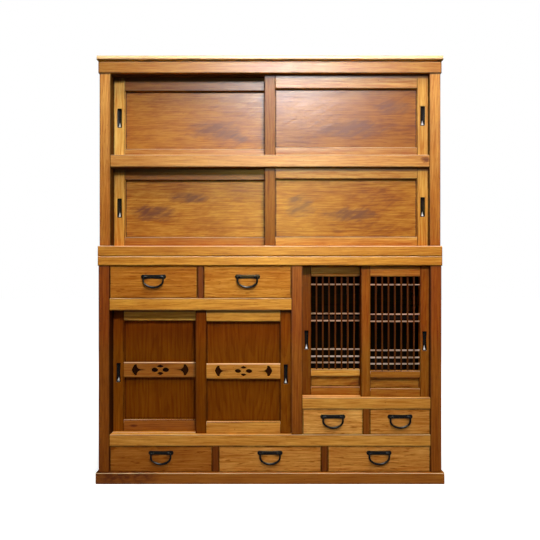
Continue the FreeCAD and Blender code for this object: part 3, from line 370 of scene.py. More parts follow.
def deepened(nodes, base, tone, greener, bluer):
    """The tone laid on thick or thin: red goes as tone, and green and blue fall faster where it is dark. The
    tone holds the stains and painted light and shade.

    Green is also scaled by 0.45 + 1.15 red, and blue by twice the red to the power of 1.5, which are about
    1 at a red of 0.5. greener and bluer multiply the green and the blue, which differ with the height up
    the cabinet.
    """
    red, green, blue = nodes.parts(nodes.scaled(base, tone))
    return nodes.joined(red, green * (0.45 + red * 1.15) * greener, blue * (red * 2.0) ** 1.5 * bluer)


def late_wood(how, place, chance, slow, waver):
    """The dark part of each ring.

    A ring is the fractional part of the distance from a pith that lies behind the board and runs slightly out
    of it, bent by a slow noise and a quick one. chance holds three numbers from 0 to 1 that place the pith.
    """
    pith_across = place[1] + (chance[1] - 0.5) * 0.12
    pith_through = place[2] + 0.045 + chance[2] * 0.04 + place[0] * (chance[0] - 0.5) * 0.3
    radius = (pith_across * pith_across + pith_through * pith_through).root()
    ring = (radius * how["ring"] + (slow - 0.5) * (how["swirl"] * 5.0) + (waver - 0.5) * 0.7).fraction()
    return ring.rise(0.40, 0.92) * ring.rise(1.0, 0.94)


def grain_marks(nodes, how):
    """The marks of a board's wood, as values on its own axes: along the grain, across and through the board.

    place is the point in those axes, reach the board's half sizes and seed a shift that no two boards share.
    Streaks, bands, dashes and pores are noises drawn out along the grain, and the figure is one drawn out
    on a slant. The rim's distance is that to the nearest edge: the middle one of the three gaps between the
    point and the board's faces, because on a face the least of them is nought.
    """
    place = nodes.attribute("place", 1)
    seed = nodes.attribute("seed", 1)
    flow = nodes.make("ShaderNodeVectorMath", {"operation": "ADD"}, (place, seed))
    along, across, through = nodes.parts(flow)
    local = nodes.parts(place)
    chance = [part.fraction() for part in nodes.parts(seed)]

    def drawn(length_scale, width_scale, detail=3.0, rough=0.6):
        factors = (length_scale, width_scale, width_scale)
        return nodes.noise(nodes.stretched(flow, factors), 1.0, detail, rough)

    late = late_wood(how, local, chance, drawn(1.3, 7.0), drawn(5.0, 30.0))
    streak = drawn(7.0 * how["short"], 190.0, 4.0, 0.65)
    middling = drawn(7.0 * how["short"], 125.0, 4.0, 0.7)
    band = drawn(2.4, 52.0)
    cloud = nodes.noise(nodes.stretched(flow, (4.0, 9.0, 9.0)), 1.0, 4.0, 0.6, 0.4)
    slant = nodes.joined(along * 8.0 + across * 12.0, across * 42.0 - along * 24.0, through * 20.0)
    figure = nodes.noise(slant, 1.0, 3.0, 0.55, 0.6)
    where = nodes.noise(nodes.stretched(flow, (3.0, 6.0, 6.0)), 1.0, 2.0, 0.5).rise(0.44, 0.60)
    dirt = nodes.noise(nodes.stretched(place, (22.0, 40.0, 40.0)), 1.0, 4.0, 0.65)
    gap = [size - abs(part) for size, part in zip(nodes.parts(nodes.attribute("reach", 1)), local)]
    rim = gap[0].least(gap[1]).most(gap[0].most(gap[1]).least(gap[2]))
    shade = (
        0.38
        + late * how["late"]
        + (streak - 0.5) * (how["streak"] * 1.7)
        + (middling - 0.5) * (how["streak"] * 0.9)
        + (band - 0.5) * how["band"]
        + (cloud - 0.5) * how["cloud"]
        + (figure - 0.5) * where * how["figure"]
    )
    return SimpleNamespace(
        late=late,
        streak=streak,
        middling=middling,
        cloud=cloud,
        figure=figure,
        where=where,
        dirt=dirt,
        pore=drawn(38.0, 620.0, 2.0, 0.5).rise(0.60, 0.74),
        dash=drawn(20.0, 170.0, 2.0, 0.5).rise(0.60, 0.70),
        fleck=nodes.cells(nodes.stretched(flow, (1.0, 1.6, 1.6)), 22.0).rise(0.055, 0.030),
        edge_grime_and_shade=rim.rise(5.5 * MM, 1.0 * MM) * (0.5 + 0.5 * dirt.rise(0.32, 0.6)),
        side=gap[0].least(gap[1]),
        shade=shade.clamped(),
    )


def wood_material(finish, light, dark, look):
    """Lacquered wood: the grain's shade and its dirt, the stains, painted light and painted shade over them,
    and painted highlights on top.

    Most of it is the grain's, on the board's own axes. What stays in one place of the cabinet reads Object
    coordinates: the plinth's darker left end, knots, painted shadow under the rails, and the hue, which
    changes with the height and holds painted haze high up.
    """
    how = dict(zip(MARKS, FINISHES[finish]))
    material = bpy.data.materials.new("mizuya_" + finish)
    nodes = Nodes(material)
    grain = grain_marks(nodes, how)
    spot = nodes.parts(nodes.make("ShaderNodeTexCoord", (), (), 3))
    facing = nodes.parts(nodes.make("ShaderNodeNewGeometry", (), (), 1))
    base = nodes.mixed(grain.shade, light, dark)
    soil = nodes.mixed(0.6, dark, look.grime)
    base = nodes.mixed(grain.pore * how["pore"], base, soil)
    base = nodes.mixed(grain.dash * how["dash"], base, soil)
    base = nodes.mixed(grain.fleck * 0.6, base, look.grime)
    if finish == "case":
        # The plinth is made darker and mottled towards its left end.
        mottle = 0.5 + 0.5 * grain.dirt.rise(0.35, 0.6)
        plinth_darkening = spot[0].rise(*PLINTH_DARK_X) * spot[2].rise(*PLINTH_DARK_Z) * mottle
        base = nodes.mixed(plinth_darkening * 0.75, base, look.grime)
        base = nodes.mixed(patched(spot, KNOTS, grain.dirt) * 0.7, base, look.grime)
    base = stain_and_painted_light(nodes, base, finish, spot)
    if how["smudge"]:
        base = nodes.mixed(smudged(grain, finish, spot, how["smudge"]), base, look.smudge)
    # Dark lines along the edges of every board: partly dirt, partly painted shade where boards meet.
    base = nodes.mixed(grain.edge_grime_and_shade * how["rim"], base, look.joint_dirt_and_shade)
    base = wear_and_highlight(nodes, base, finish, how, spot, facing, look)
    base = shaded_parts(nodes, base, finish, grain, spot, facing, look)
    relief = nodes.bump((grain.late * 0.4 + grain.streak * 0.8 - grain.pore).clamped(), 0.5, 0.00025)
    billow = grain.figure * grain.where * (0.2 + 0.5 * how["figure"]) + grain.cloud * 0.6
    wave = nodes.bump(billow, 0.6, 0.0014, relief)
    rough = how["shine"] + (grain.dirt - 0.5) * 0.14 + (grain.streak - 0.5) * 0.10 + grain.edge_grime_and_shade * 0.2
    finish_inputs = {"Base Color": base, "Roughness": rough.clamped(), "Normal": wave}
    finish_inputs["Specular IOR Level"] = how["gloss"]
    lacquer = nodes.make("ShaderNodeBsdfPrincipled", (), finish_inputs)
    dull = nodes.make("ShaderNodeBsdfDiffuse", (), {"Color": base, "Normal": wave})
    nodes.surface(nodes.make("ShaderNodeMixShader", (), (dull_face(spot, facing), lacquer, dull)))
    return material


def stain_and_painted_light(nodes, base, finish, spot):
    """Stains and painted light: each board has its tone, which holds painted shade as well; the posts are
    painted lighter towards the top, and the hue is yellower and bluer high up as painted haze and more amber
    half way.
    """
    tone = nodes.attribute("tone", 2)
    if finish == "post":
        # Painted light: the posts are made lighter towards the top, where more light falls.
        tone = tone * (0.88 + 0.26 * spot[2].rise(*POST_LIGHT_Z))
    if finish == "case":
        tone = tone * (1.0 - 0.5 * spot[2].rise(*TOP_FACE_Z))
    # Painted haze: a yellower, bluer hue high up on the case, posts and door frames.
    golden_haze = spot[2].rise(*GOLDEN_HAZE_Z) * (0.12 if finish in ("case", "post", "door", "stile") else 0.0)
    amber = spot[2].rise(*AMBER_FOOT_Z) * spot[2].rise(*AMBER_HEAD_Z) * 0.35
    redder = amber * (0.1 if finish in ("case", "drawer") else 0.6)
    return deepened(nodes, base, tone, golden_haze + 1.0 - redder, golden_haze * 4.0 + 1.0 - amber)


def smudged(grain, finish, spot, strength):
    """How far purple-brown smudges cover the wood; on the wide panels they also have places of their own."""
    flame = (grain.figure * 0.5 + grain.middling * 0.5).rise(0.42, 0.60)
    smudge = grain.cloud.rise(0.50, 0.66) * flame * (0.4 * strength)
    if finish == "panel":
        ragged = grain.cloud * 0.35 + grain.figure * 0.45 + grain.middling * 0.2
        smudge = smudge + patched(spot, PATCHES, ragged) * (0.30 + 0.7 * grain.figure + 0.4 * grain.streak)
    return smudge


def wear_and_highlight(nodes, base, finish, how, spot, facing, look):
    """Painted highlights: upper edges painted pale, and the front edge of the top board painted pale for the
    lamps' haze.
    """
    if finish == "case":
        # Painted haze on the front edge of the top board
        top_board_haze = spot[2].rise(*TOP_BOARD_Z) * facing[1].rise(-0.55, -0.80)
        base = nodes.mixed(top_board_haze * 0.55, base, look.rubbed)
    # Painted highlight on the upper-facing edges
    rubbed = facing[2].rise(0.30, 0.60) * facing[1].rise(-0.30, -0.60) * spot[2].rise(*BELOW_TOP_BOARD_Z)
    return nodes.mixed(rubbed * how["rubbed"], base, look.rubbed)


def shaded_parts(nodes, base, finish, grain, spot, facing, look):
    """Painted shade: shadow under the rails, on the inner sides of the posts, in the pierced shapes and
    inside the case.
    """
    if finish in ("door", "stile", "deep", "case"):
        # Painted shadow close under the front rails
        base = nodes.mixed(rail_shadow(spot) * 0.8, base, look.rail_shade)
    if finish == "post":
        # Painted shade on the inner side faces of the posts and on the front faces of the rear posts
        inward = (spot[0] * facing[0]).rise(*POST_INWARD_X)
        inward = inward.most(spot[1].rise(*REAR_POST_Y) * facing[1].rise(-0.3, -0.6))
        base = nodes.mixed(inward * 0.85, base, look.joint_dirt_and_shade)
    if finish in ("case", "sheltered"):
        # Painted shade in the pierced shapes: the panel behind the bands and the walls of the holes
        low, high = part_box("openwork_left_door_band")
        level = spot[2].rise(low[2], low[2] + 3 * MM) * spot[2].rise(high[2], high[2] - 3 * MM)
        if finish == "sheltered":
            hole_shade = level * 0.85
        else:
            walls = grain.side.rise(2 * MM, 4 * MM) * abs(facing[1]).rise(0.6, 0.3)
            hole_shade = level * walls * spot[1].rise(low[1], low[1] + MM) * spot[1].rise(*BEHIND_BAND_Y)
        base = nodes.mixed(hole_shade, base, (0.008, 0.003, 0.001))
    if finish == "board":
        # Painted shade inside the case: its inner faces are painted near black
        inner = abs(spot[0]).rise(*INSIDE_X) * spot[1].rise(*INSIDE_BACK_Y) * spot[1].rise(*INSIDE_FRONT_Y)
        base = nodes.mixed(inner, base, nodes.mixed(grain.shade, look.inside, look.joint_dirt_and_shade))
    return base


def dull_face(spot, facing):
    """1 on faces that turn away from the front, all but the back: their lacquer is thin and dull."""
    return facing[1].rise(-0.99, -0.93) * spot[1].rise(*BACK_FACE_Y)


def iron_material(name, look, polish):
    """Blackened iron: hammered facets and pits in the bump, brown bloom and bright spots of wear in the
    colour, and on the finger pulls a painted highlight at the foot of the cup.
    """
    material = bpy.data.materials.new(name)
    nodes = Nodes(material)
    spot = nodes.make("ShaderNodeTexCoord", (), (), 3)
    cloud = nodes.noise(spot, 90.0, 4.0, 0.6)
    grit = nodes.noise(spot, 900.0, 3.0, 0.6)
    base = nodes.mixed(cloud.rise(0.5, 0.72) * 0.7, look.iron, look.rust)
    base = nodes.mixed(grit.rise(0.60, 0.75) * (0.25 + polish), base, look.wear_and_highlight)
    if polish > 0.5:
        # Painted highlight at the foot of each cup
        x, y, z = nodes.parts(nodes.attribute("place", 1))
        highlight_wedge = 0.60 - z * 1.9 - abs(x)
        foot = highlight_wedge.rise(0.0, 0.14) * z.rise(0.03, 0.07) * y.rise(0.04, 0.12)
        base = nodes.mixed(foot, base, look.bright)
    dents = nodes.cells(spot, 210.0)
    shader = nodes.make(
        "ShaderNodeBsdfPrincipled",
        (),
        {
            "Base Color": base,
            "Specular IOR Level": 0.045,
            "Roughness": (0.26 - 0.08 * polish + (grit - 0.5) * 0.22 + (cloud - 0.5) * 0.2).clamped(),
            "Normal": nodes.bump(dents * 0.7 + grit * 0.3, 0.35, 0.0004),
        },
    )
    nodes.surface(shader)
    return material


# Boards from the CAD solids

SAME_POINT = 0.002 * MM
LONG_EDGE = 12 * MM
LONG_BAND_EDGE = 60 * MM
FLAT = math.radians(0.5)
SQUARE_CORNER = (math.radians(50), math.radians(130))
SHARP_BOARD = math.radians(52)


def mesh_points(mesh):
    points = np.empty(len(mesh.vertices) * 3, np.float32)
    mesh.vertices.foreach_get("co", points)
    return points.reshape(-1, 3).astype(float)


def groups(count, first, second):
    """The number of the group that each of count things is in, where first[i] and second[i] belong together.

    Each thing takes the lowest number among those that it is joined to, until nothing changes.
    """
    label = np.arange(count)
    while True:
        low = np.minimum(label[first], label[second])
        new = label.copy()
        np.minimum.at(new, first, low)
        np.minimum.at(new, second, low)
        new = new[new]
        if np.array_equal(new, label):
            return label
        label = new


def merged_boards(node):
    """Points and triangles of a CAD node, each board's corners merged and boards that only touch kept apart.

    Two triangles are of one board if an edge belongs to just those two.
    """
    mesh = frame["nodes"][node].data
    mesh.calc_loop_triangles()
    points = mesh_points(mesh)
    corners = np.empty(len(mesh.loop_triangles) * 3, np.int32)
    mesh.loop_triangles.foreach_get("vertices", corners)
    steps = np.round(points[corners] / SAME_POINT).astype(np.int64)
    spots, spot_of = np.unique(steps, axis=0, return_inverse=True)
    triangles = spot_of.reshape(-1, 3)
    sides = [triangles[:, [0, 1]], triangles[:, [1, 2]], triangles[:, [2, 0]]]
    edges = np.sort(np.concatenate(sides), axis=1)
    owner = np.tile(np.arange(len(triangles)), 3)
    codes = edges[:, 0] * len(spots) + edges[:, 1]
    _, inverse, counts = np.unique(codes, return_inverse=True, return_counts=True)
    order = np.argsort(inverse.ravel(), kind="stable")
    start = np.cumsum(counts) - counts
    twice = start[counts == 2]
    board = groups(len(triangles), owner[order[twice]], owner[order[twice + 1]])
    key = np.repeat(board, 3).astype(np.int64) * len(spots) + triangles.ravel()
    _, kept, corner = np.unique(key, return_index=True, return_inverse=True)
    return points[corners][kept], corner.reshape(-1, 3)


def eased_mesh(name, points, faces, width, shortest):
    """The boards with flat neighbours joined, and the outer edges that are longer than shortest rounded."""
    mesh = bpy.data.meshes.new(name)
    mesh.from_pydata(points.tolist(), [], faces.tolist())
    work = bmesh.new()
    work.from_mesh(mesh)
    work.verts.ensure_lookup_table()
    bmesh.ops.dissolve_limit(work, angle_limit=FLAT, verts=work.verts, edges=work.edges, delimit=set())
    weight = work.edges.layers.float.new("bevel_weight_edge")
    for edge in work.edges:
        if edge.is_manifold and edge.is_convex and edge.calc_length() > shortest:
            if SQUARE_CORNER[0] < edge.calc_face_angle() < SQUARE_CORNER[1]:
                edge[weight] = 1.0
    for face in work.faces:
        face.smooth = True
    work.to_mesh(mesh)
    work.free()
    mesh.set_sharp_from_angle(angle=SHARP_BOARD)
    piece = bpy.data.objects.new(name, mesh)
    bpy.context.scene.collection.objects.link(piece)
    bevel = piece.modifiers.new("Easing", "BEVEL")
    bevel.limit_method = "WEIGHT"
    bevel.width = width
    bevel.segments = 2
    bevel.use_clamp_overlap = False
    even = piece.modifiers.new("Even", "WEIGHTED_NORMAL")
    even.keep_sharp = True
    bpy.context.view_layer.update()
    graph = bpy.context.evaluated_depsgraph_get()
    evaluated = piece.evaluated_get(graph)
    finished = bpy.data.meshes.new_from_object(evaluated, preserve_all_data_layers=True, depsgraph=graph)
    piece.modifiers.clear()
    piece.data = finished
    bpy.data.meshes.remove(mesh)
    finished.name = name
    return piece


def boards_of(mesh):
    """The boards of a mesh: each point's board, counted from 0, and each board's middle and half size."""
    edges = np.empty(len(mesh.edges) * 2, np.int32)
    mesh.edges.foreach_get("vertices", edges)
    label = groups(len(mesh.vertices), edges[::2], edges[1::2])
    board = np.unique(label, return_inverse=True)[1].ravel()
    points = mesh_points(mesh)
    low = np.full((board.max() + 1, 3), np.inf)
    high = -low
    np.minimum.at(low, board, points)
    np.maximum.at(high, board, points)
    return board, (high + low) / 2, (high - low) / 2


def give(mesh, name, kind, numbers):
    """Puts numbers, one row for each point, into an attribute of the mesh."""
    layer = mesh.attributes.new(name, kind, "POINT")
    field = "vector" if kind == "FLOAT_VECTOR" else "value"
    layer.data.foreach_set(field, np.ascontiguousarray(numbers, np.float32).ravel())


# How far two boards' grain can be apart, and by how much of itself a board's tone strays
SEED_SPREAD = 60.0
TONE_SPREAD = 0.08

# How light each node's boards are: a number, or a rule from a board's middle and half size
# Besides the stains, these tones hold painted light and shade: boards in shade are darker, such as the head
# rails of the doors in the back track, and boards that more light falls on are lighter.
TONES = {
    "posts": lambda m, h: post_tone(m, 1.32, 1.16, 0.72, 0.84),
    "plinth": 0.62,
    "lower_rails": 1.1,
    "middle_shelf": 0.87,
    "lower_head_frame": 1.05,
    "upper_sill_frame": 0.9,
    "frieze_frame": 0.69,
    "top_board": 1.35,
    "inner_framing": lambda m, h: 0.50 if m[2] < 0.2 else 0.78 if m[2] < 0.4 else 0.54 if m[0] < 0 else 0.88,
    "top_left_door_frame": lambda m, h: door_tone(m, h, 1.53, 0.45, 0.78, 1.3, 0.52),
    "top_right_door_frame": lambda m, h: door_tone(m, h, 1.53, 0.79, 0.67, 0.98, 0.5),
    "middle_left_door_frame": lambda m, h: door_tone(m, h, 1.15, 0.49, 0.72, 1.24, 0.47),
    "middle_right_door_frame": lambda m, h: door_tone(m, h, 1.15, 0.88, 1.0, 1.04, 0.46),
    "top_left_door_panel": 0.54,
    "top_right_door_panel": 0.42,
    "middle_left_door_panel": 0.68,
    "middle_right_door_panel": 0.60,
    "openwork_left_door_frame": lambda m, h: openwork_tone(m, h, 1.28, 0.55, -0.4, 1.3, 1.0),
    "openwork_right_door_frame": lambda m, h: openwork_tone(m, h, 1.12, 1.06, 0.0, 0.97, 1.22),
    "openwork_left_door_panel": 0.95,
    "openwork_right_door_panel": 1.05,
    "openwork_left_door_band": 0.58,
    "openwork_right_door_band": 0.94,
    "lattice_left_door_frame": lambda m, h: 0.36 if h[0] < h[2] else rail_tone(m, 1.05, 1.25, 0.68),
    "lattice_right_door_frame": lambda m, h: 0.53 if h[0] < h[2] else rail_tone(m, 0.86, 0.62, 0.7),
    "lattice_left_door_panel": 0.74,
    "lattice_right_door_panel": 0.72,
    "upper_left_drawer_box": 1.02,
    "upper_right_drawer_box": 1.16,
    "small_left_drawer_box": 1.48,
    "small_right_drawer_box": 1.2,
    "bottom_left_drawer_box": 0.85,
    "bottom_middle_drawer_box": 1.32,
    "bottom_right_drawer_box": 1.24,
}


def post_tone(middle, upper_left, upper_right, lower_left, lower_right):
    """Tones of the posts of the upper case, left and right, and of the lower case."""
    left, right = (upper_left, upper_right) if middle[2] > UPPER_CASE_Z else (lower_left, lower_right)
    return left if middle[0] < 0 else right


def rail_tone(middle, head, sash, foot):
    """Tones of a lattice door's head rail, middle rail and foot rail."""
    return head if middle[2] > LATTICE_HEAD_Z else sash if middle[2] > LATTICE_SASH_Z else foot


def openwork_tone(middle, half, head, foot, split, left, right):
    """Tones of a door's head rail, foot rail, left stile and right stile. split is between the stiles."""
    if half[0] > half[2]:
        return head if middle[2] > OPENWORK_MIDDLE_Z else foot
    return left if middle[0] < split else right


def door_tone(middle, half, sash, head, foot, outer, meeting):
    """Tones of a door's head rail, foot rail, outer stile and meeting stile. sash is its middle height."""
    if half[0] > half[2]:
        return head if middle[2] > sash else foot
    return outer if abs(middle[0]) > OUTER_STILE_X else meeting


def board_tone(node, middle, half):
    """A node's entry in TONES, worked out for one board."""
    tone = TONES.get(node, 1.0)
    return tone(middle, half) if callable(tone) else tone


def grain_axes(mesh, node):
    """Writes place, reach, seed and tone for each board of a node.

    The grain runs along the longest side of the board's box, and the board's thickness is its shortest
    side. The seed comes from the board's middle in whole millimetres.
    """
    board, middle, half = boards_of(mesh)
    axes = np.argsort(-half, axis=1, kind="stable")
    place = np.take_along_axis(mesh_points(mesh) - middle[board], axes[board], axis=1)
    reach = np.take_along_axis(half, axes, axis=1)
    if node.endswith("_door_panel"):
        reach[:, :2] -= PANEL_TONGUE
    seeds = np.array([np.random.default_rng([int(c * 1000 + 5000.3) for c in m]).random(4) for m in middle])
    give(mesh, "place", "FLOAT_VECTOR", place)
    give(mesh, "reach", "FLOAT_VECTOR", reach[board])
    give(mesh, "seed", "FLOAT_VECTOR", (seeds[:, :3] * SEED_SPREAD)[board])
    tone = np.array([board_tone(node, m, h) for m, h in zip(middle, half)])
    give(mesh, "tone", "FLOAT", (tone * (1 + TONE_SPREAD * (seeds[:, 3] - 0.5)))[board])


def board_piece(node, width, materials, pick=None):
    """The boards of a CAD node as one piece. pick gives a board's material by its middle and half size."""
    shortest = LONG_BAND_EDGE if node.endswith("band") else LONG_EDGE
    piece = eased_mesh(node + "_boards", *merged_boards(node), width, shortest)
    mesh = piece.data
    grain_axes(mesh, node)
    mesh.materials.clear()
    for material in materials:
        mesh.materials.append(material)
    if len(materials) > 1:
        board, middle, half = boards_of(mesh)
        choice = np.array([pick(m, h) for m, h in zip(middle, half)])
        first = np.empty(len(mesh.polygons), np.int32)
        mesh.polygons.foreach_get("loop_start", first)
        corner = np.empty(len(mesh.loops), np.int32)
        mesh.loops.foreach_get("vertex_index", corner)
        mesh.polygons.foreach_set("material_index", choice[board[corner[first]]].astype(np.int32))
    finish_piece(piece, node)


def finish_piece(piece, node):
    """The piece stands for a CAD node: it rides on the node's body, and the node itself is hidden."""
    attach(piece, BODY_OF[node])
    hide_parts(node)


# Surfaces on grids

SHARP_IRON = math.radians(40)

# From the bail's axis back to the face of the handle plate
AXIS_TO_PLATE = 6.5 * MM

# Points round each grid
STUD_ROUND = 24
PLATE_ROUND = 32
BAIL_ROUND = 20
PULL_ROUND = 64


def grid_piece(name, sheets):
    """One mesh from closed sheets of points, each (rings, points round, 3), whose end rings are poles."""
    points = []
    faces = []
    start = 0
    for sheet in sheets:
        rings, around, _ = sheet.shape
        points.append(sheet.reshape(-1, 3))
        i = np.arange(rings - 1)[:, None]
        j = np.arange(around)[None, :]
        a = i * around + j
        b = i * around + (j + 1) % around
        quads = np.stack([a, b, b + around, a + around], axis=-1).reshape(-1, 4) + start
        faces.append(quads)
        start += rings * around
    mesh = bpy.data.meshes.new(name)
    mesh.from_pydata(np.concatenate(points).tolist(), [], np.concatenate(faces).tolist())
    work = bmesh.new()
    work.from_mesh(mesh)
    bmesh.ops.remove_doubles(work, verts=work.verts, dist=0.01 * MM)
    bmesh.ops.dissolve_degenerate(work, edges=work.edges, dist=0.005 * MM)
    bmesh.ops.recalc_face_normals(work, faces=work.faces)
    for face in work.faces:
        face.smooth = True
    work.to_mesh(mesh)
    work.free()
    mesh.set_sharp_from_angle(angle=SHARP_IRON)
    piece = bpy.data.objects.new(name, mesh)
    bpy.context.scene.collection.objects.link(piece)
    return piece


def full_turn(count):
    """count angles, evenly round."""
    return np.linspace(0, 2 * np.pi, count, endpoint=False)


def squared(angle, power):
    """A rounded square: cosine and sine with their sizes raised to 2 / power."""
    c = np.cos(angle)
    s = np.sin(angle)
    return np.sign(c) * np.abs(c) ** (2 / power), np.sign(s) * np.abs(s) ** (2 / power)


def stud_sheet(x, y, z, look):
    """A stud turned about its axis: collar, neck and round head, from the plate forward to the crown."""
    r = look.stud_radius
    turn = np.linspace(-0.55 * np.pi / 2, np.pi / 2, 12)
    collar = np.array([0.0, 0.0, 0.5, 0.9, 1.0, 1.6]) * MM
    depth = np.concatenate([collar, AXIS_TO_PLATE + r * np.sin(turn)])
    width = np.concatenate([[0.0, r * 1.10, r * 1.08, r * 0.95, r * 0.72, r * 0.68], r * np.cos(turn)])
    angle = full_turn(STUD_ROUND)
    ring = np.stack([np.cos(angle), np.zeros_like(angle), np.sin(angle)], axis=-1)
    centre = np.array([x, y, z])
    return centre + width[:, None, None] * ring + depth[:, None, None] * np.array([0.0, -1.0, 0.0])


def plate_sheet(low, high, y_front, look):
    """A long plate with a waist, whose ends close in points.

    With u along the plate from -1 to 1 the half height is its greatest one times (0.84 + 0.16 |u|^2.5), and
    over the last tenth also times (the distance left / 0.1)^0.62. The section is a rounded square, its
    front a little crowned.
    """
    middle = (low + high) / 2
    half_length = (high[0] - low[0]) / 2
    half_height = (high[2] - low[2]) / 2
    u = np.sin(np.linspace(-np.pi / 2, np.pi / 2, 61))
    body = 0.84 + 0.16 * np.abs(u) ** 2.5
    close = np.clip((1 - np.abs(u)) / 0.10, 0, 1) ** 0.62
    tall = half_height * body * close
    angle = full_turn(PLATE_ROUND)
    c, s = squared(angle, 5.0)
    thick = look.plate_rim / 2
    crown = 0.25 * MM * (1 - (tall[:, None] * c[None, :] / half_height) ** 2) * np.clip(s, 0, 1)[None, :]
    x = middle[0] + half_length * np.repeat(u[:, None], len(angle), axis=1)
    y = y_front + thick - (thick * s[None, :] * np.clip(close, 0.35, 1)[:, None]) + 0.25 * MM - crown
    z = middle[2] + tall[:, None] * c[None, :]
    return np.stack([x, y, z], axis=-1)


def bail_path(look):
    """Points along the bail's centreline in its own plane, from one stud to the other.

    Half of it is a quarter turn out of the stud, a straight side, a corner arc and half of a flatter bottom
    arc that meets the corner on one tangent; the other half is its mirror image.
    """
    pin = look.stud_spacing / 2 + look.stud_radius
    turn = look.bail_turn
    half = pin + turn
    foot = -turn - look.bail_side
    fall = look.bail_drop + foot
    corner = fall * look.bail_corner
    across = half - corner
    bow = (fall**2 + across**2 - corner**2) / (2 * (fall - corner))
    centre_z = bow - look.bail_drop
    slope = math.atan2(foot - centre_z, across)
    inward = np.linspace(pin - 0.7 * look.stud_radius, pin, 4, endpoint=False)
    first = np.stack([inward, np.zeros_like(inward)], axis=-1)
    a = np.linspace(0, np.pi / 2, 8, endpoint=False)
    out = np.stack([pin + turn * np.sin(a), -turn + turn * np.cos(a)], axis=-1)
    side = np.stack([np.full(4, half), np.linspace(-turn, foot, 4, endpoint=False)], axis=-1)
    b = np.linspace(0, slope, 16, endpoint=False)
    bend = np.stack([across + corner * np.cos(b), foot + corner * np.sin(b)], axis=-1)
    c = np.linspace(slope, -np.pi / 2, 14)
    bottom = np.stack([bow * np.cos(c), centre_z + bow * np.sin(c)], axis=-1)
    right = np.concatenate([first, out, side, bend, bottom])
    return np.concatenate([right, right[-2::-1] * np.array([-1.0, 1.0])])


def bail_sheet(middle_x, axis_y, axis_z, look):
    """The bail: an oval section carried along its path.

    With s the share of the way along, the section's half width in the bail's plane is the bail's thickness
    times (1.06 + swell sin(pi s)^4), its half depth stays, and both shrink to the pin inside the studs.
    """
    path = bail_path(look)
    step = np.gradient(path, axis=0)
    step /= np.linalg.norm(step, axis=1, keepdims=True)
    normal = np.stack([-step[:, 1], step[:, 0]], axis=-1)
    run = np.concatenate([[0.0], np.cumsum(np.linalg.norm(np.diff(path, axis=0), axis=1))])
    s = run / run[-1]
    pin = look.stud_spacing / 2 + look.stud_radius
    inside = np.clip((pin + 0.6 * MM - np.abs(path[:, 0])) / (1.2 * MM), 0, 1) * (path[:, 1] > -0.5 * MM)
    thick = look.bail_radius * (1 - 0.34 * inside)
    wide = thick * (1.06 + look.bail_swell * np.sin(np.pi * s) ** 4)
    ends = np.ones_like(s)
    ends[0] = ends[-1] = 0.0
    path = np.concatenate([path[:1], path, path[-1:]])
    normal = np.concatenate([normal[:1], normal, normal[-1:]])
    wide = np.concatenate([[0.0], wide, [0.0]])
    thick = np.concatenate([[0.0], thick, [0.0]])
    angle = full_turn(BAIL_ROUND)
    c = np.cos(angle)[None, :]
    d = np.sin(angle)[None, :]
    x = middle_x + path[:, :1] + wide[:, None] * c * normal[:, :1]
    z = axis_z + path[:, 1:] + wide[:, None] * c * normal[:, 1:]
    y = axis_y + thick[:, None] * d
    return np.stack([x, y + 0 * x, z], axis=-1)


def pull_sheet(low, high, waist):
    """A finger pull: a cup with a hollow front.

    Rings follow the outline, a rounded rectangle drawn in by the waist at mid height, from a pole on the
    back over the outer wall and the rim into the hollow. There, with t from 0 to a quarter turn, the depth
    grows as sin t while the ring shrinks by 0.30 (1 - cos t) across and 0.26 (1 - cos t) along.
    """
    middle = (low + high) / 2
    half_x = (high[0] - low[0]) / 2
    half_z = (high[2] - low[2]) / 2
    deep = high[1] - low[1]
    angle = full_turn(PULL_ROUND)
    c, s = squared(angle, 9.0)
    wall = 1.25 * MM
    back = [(0.0, 0.0, 1.0), (0.6, 0.6, 1.0), (0.97, 0.99, 1.0)]
    side = [(1.0, 1.0, 0.93), (1.0, 1.0, 0.06), (0.985, 0.997, 0.0)]
    t = np.linspace(0, np.pi / 2, 9)
    shrink = 1 - np.cos(t)
    inner_x = (half_x - wall) / half_x * (1 - 0.30 * shrink)
    inner_z = (half_z - wall) / half_z * (1 - 0.26 * shrink)
    hollow = list(zip(inner_x, inner_z, 0.04 + 0.78 * np.sin(t)))
    rows = back + side + hollow + [(0.4, 0.45, 0.84), (0.0, 0.0, 0.84)]
    sheet = []
    for scale_x, scale_z, depth in rows:
        z = s * half_z * scale_z
        drawn = waist * (1 - (s * scale_z) ** 2)
        x = c * (half_x * scale_x - drawn * min(scale_x * 1.2, 1.0))
        y = np.full_like(x, low[1] + depth * deep)
        sheet.append(np.stack([middle[0] + x, y, middle[2] + z], axis=-1))
    return np.array(sheet)


def corners(node):
    low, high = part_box(node)
    return np.array(low), np.array(high)


# Operators


def wood_set():
    """The wood materials, made once. A finish without colours of its own takes those of another."""
    look = bpy.context.scene.mizuya_wood
    alike = {"stile": "door", "sheltered": "deep", "board": "case"}
    for finish in FINISHES:
        if "mizuya_" + finish not in bpy.data.materials:
            colours = alike.get(finish, finish)
            wood_material(finish, getattr(look, colours + "_light"), getattr(look, colours + "_dark"), look)
    return {finish: bpy.data.materials["mizuya_" + finish] for finish in FINISHES}


def iron_set():
    """The irons of the handles and of the finger pulls, made once. Fingers polish the pulls more, and the
    pulls' foot carries a painted highlight.
    """
    look = bpy.context.scene.mizuya_iron
    if "handle_iron" not in bpy.data.materials:
        iron_material("handle_iron", look, 0.25)
        iron_material("pull_iron", look, 0.75)
    return bpy.data.materials["handle_iron"], bpy.data.materials["pull_iron"]


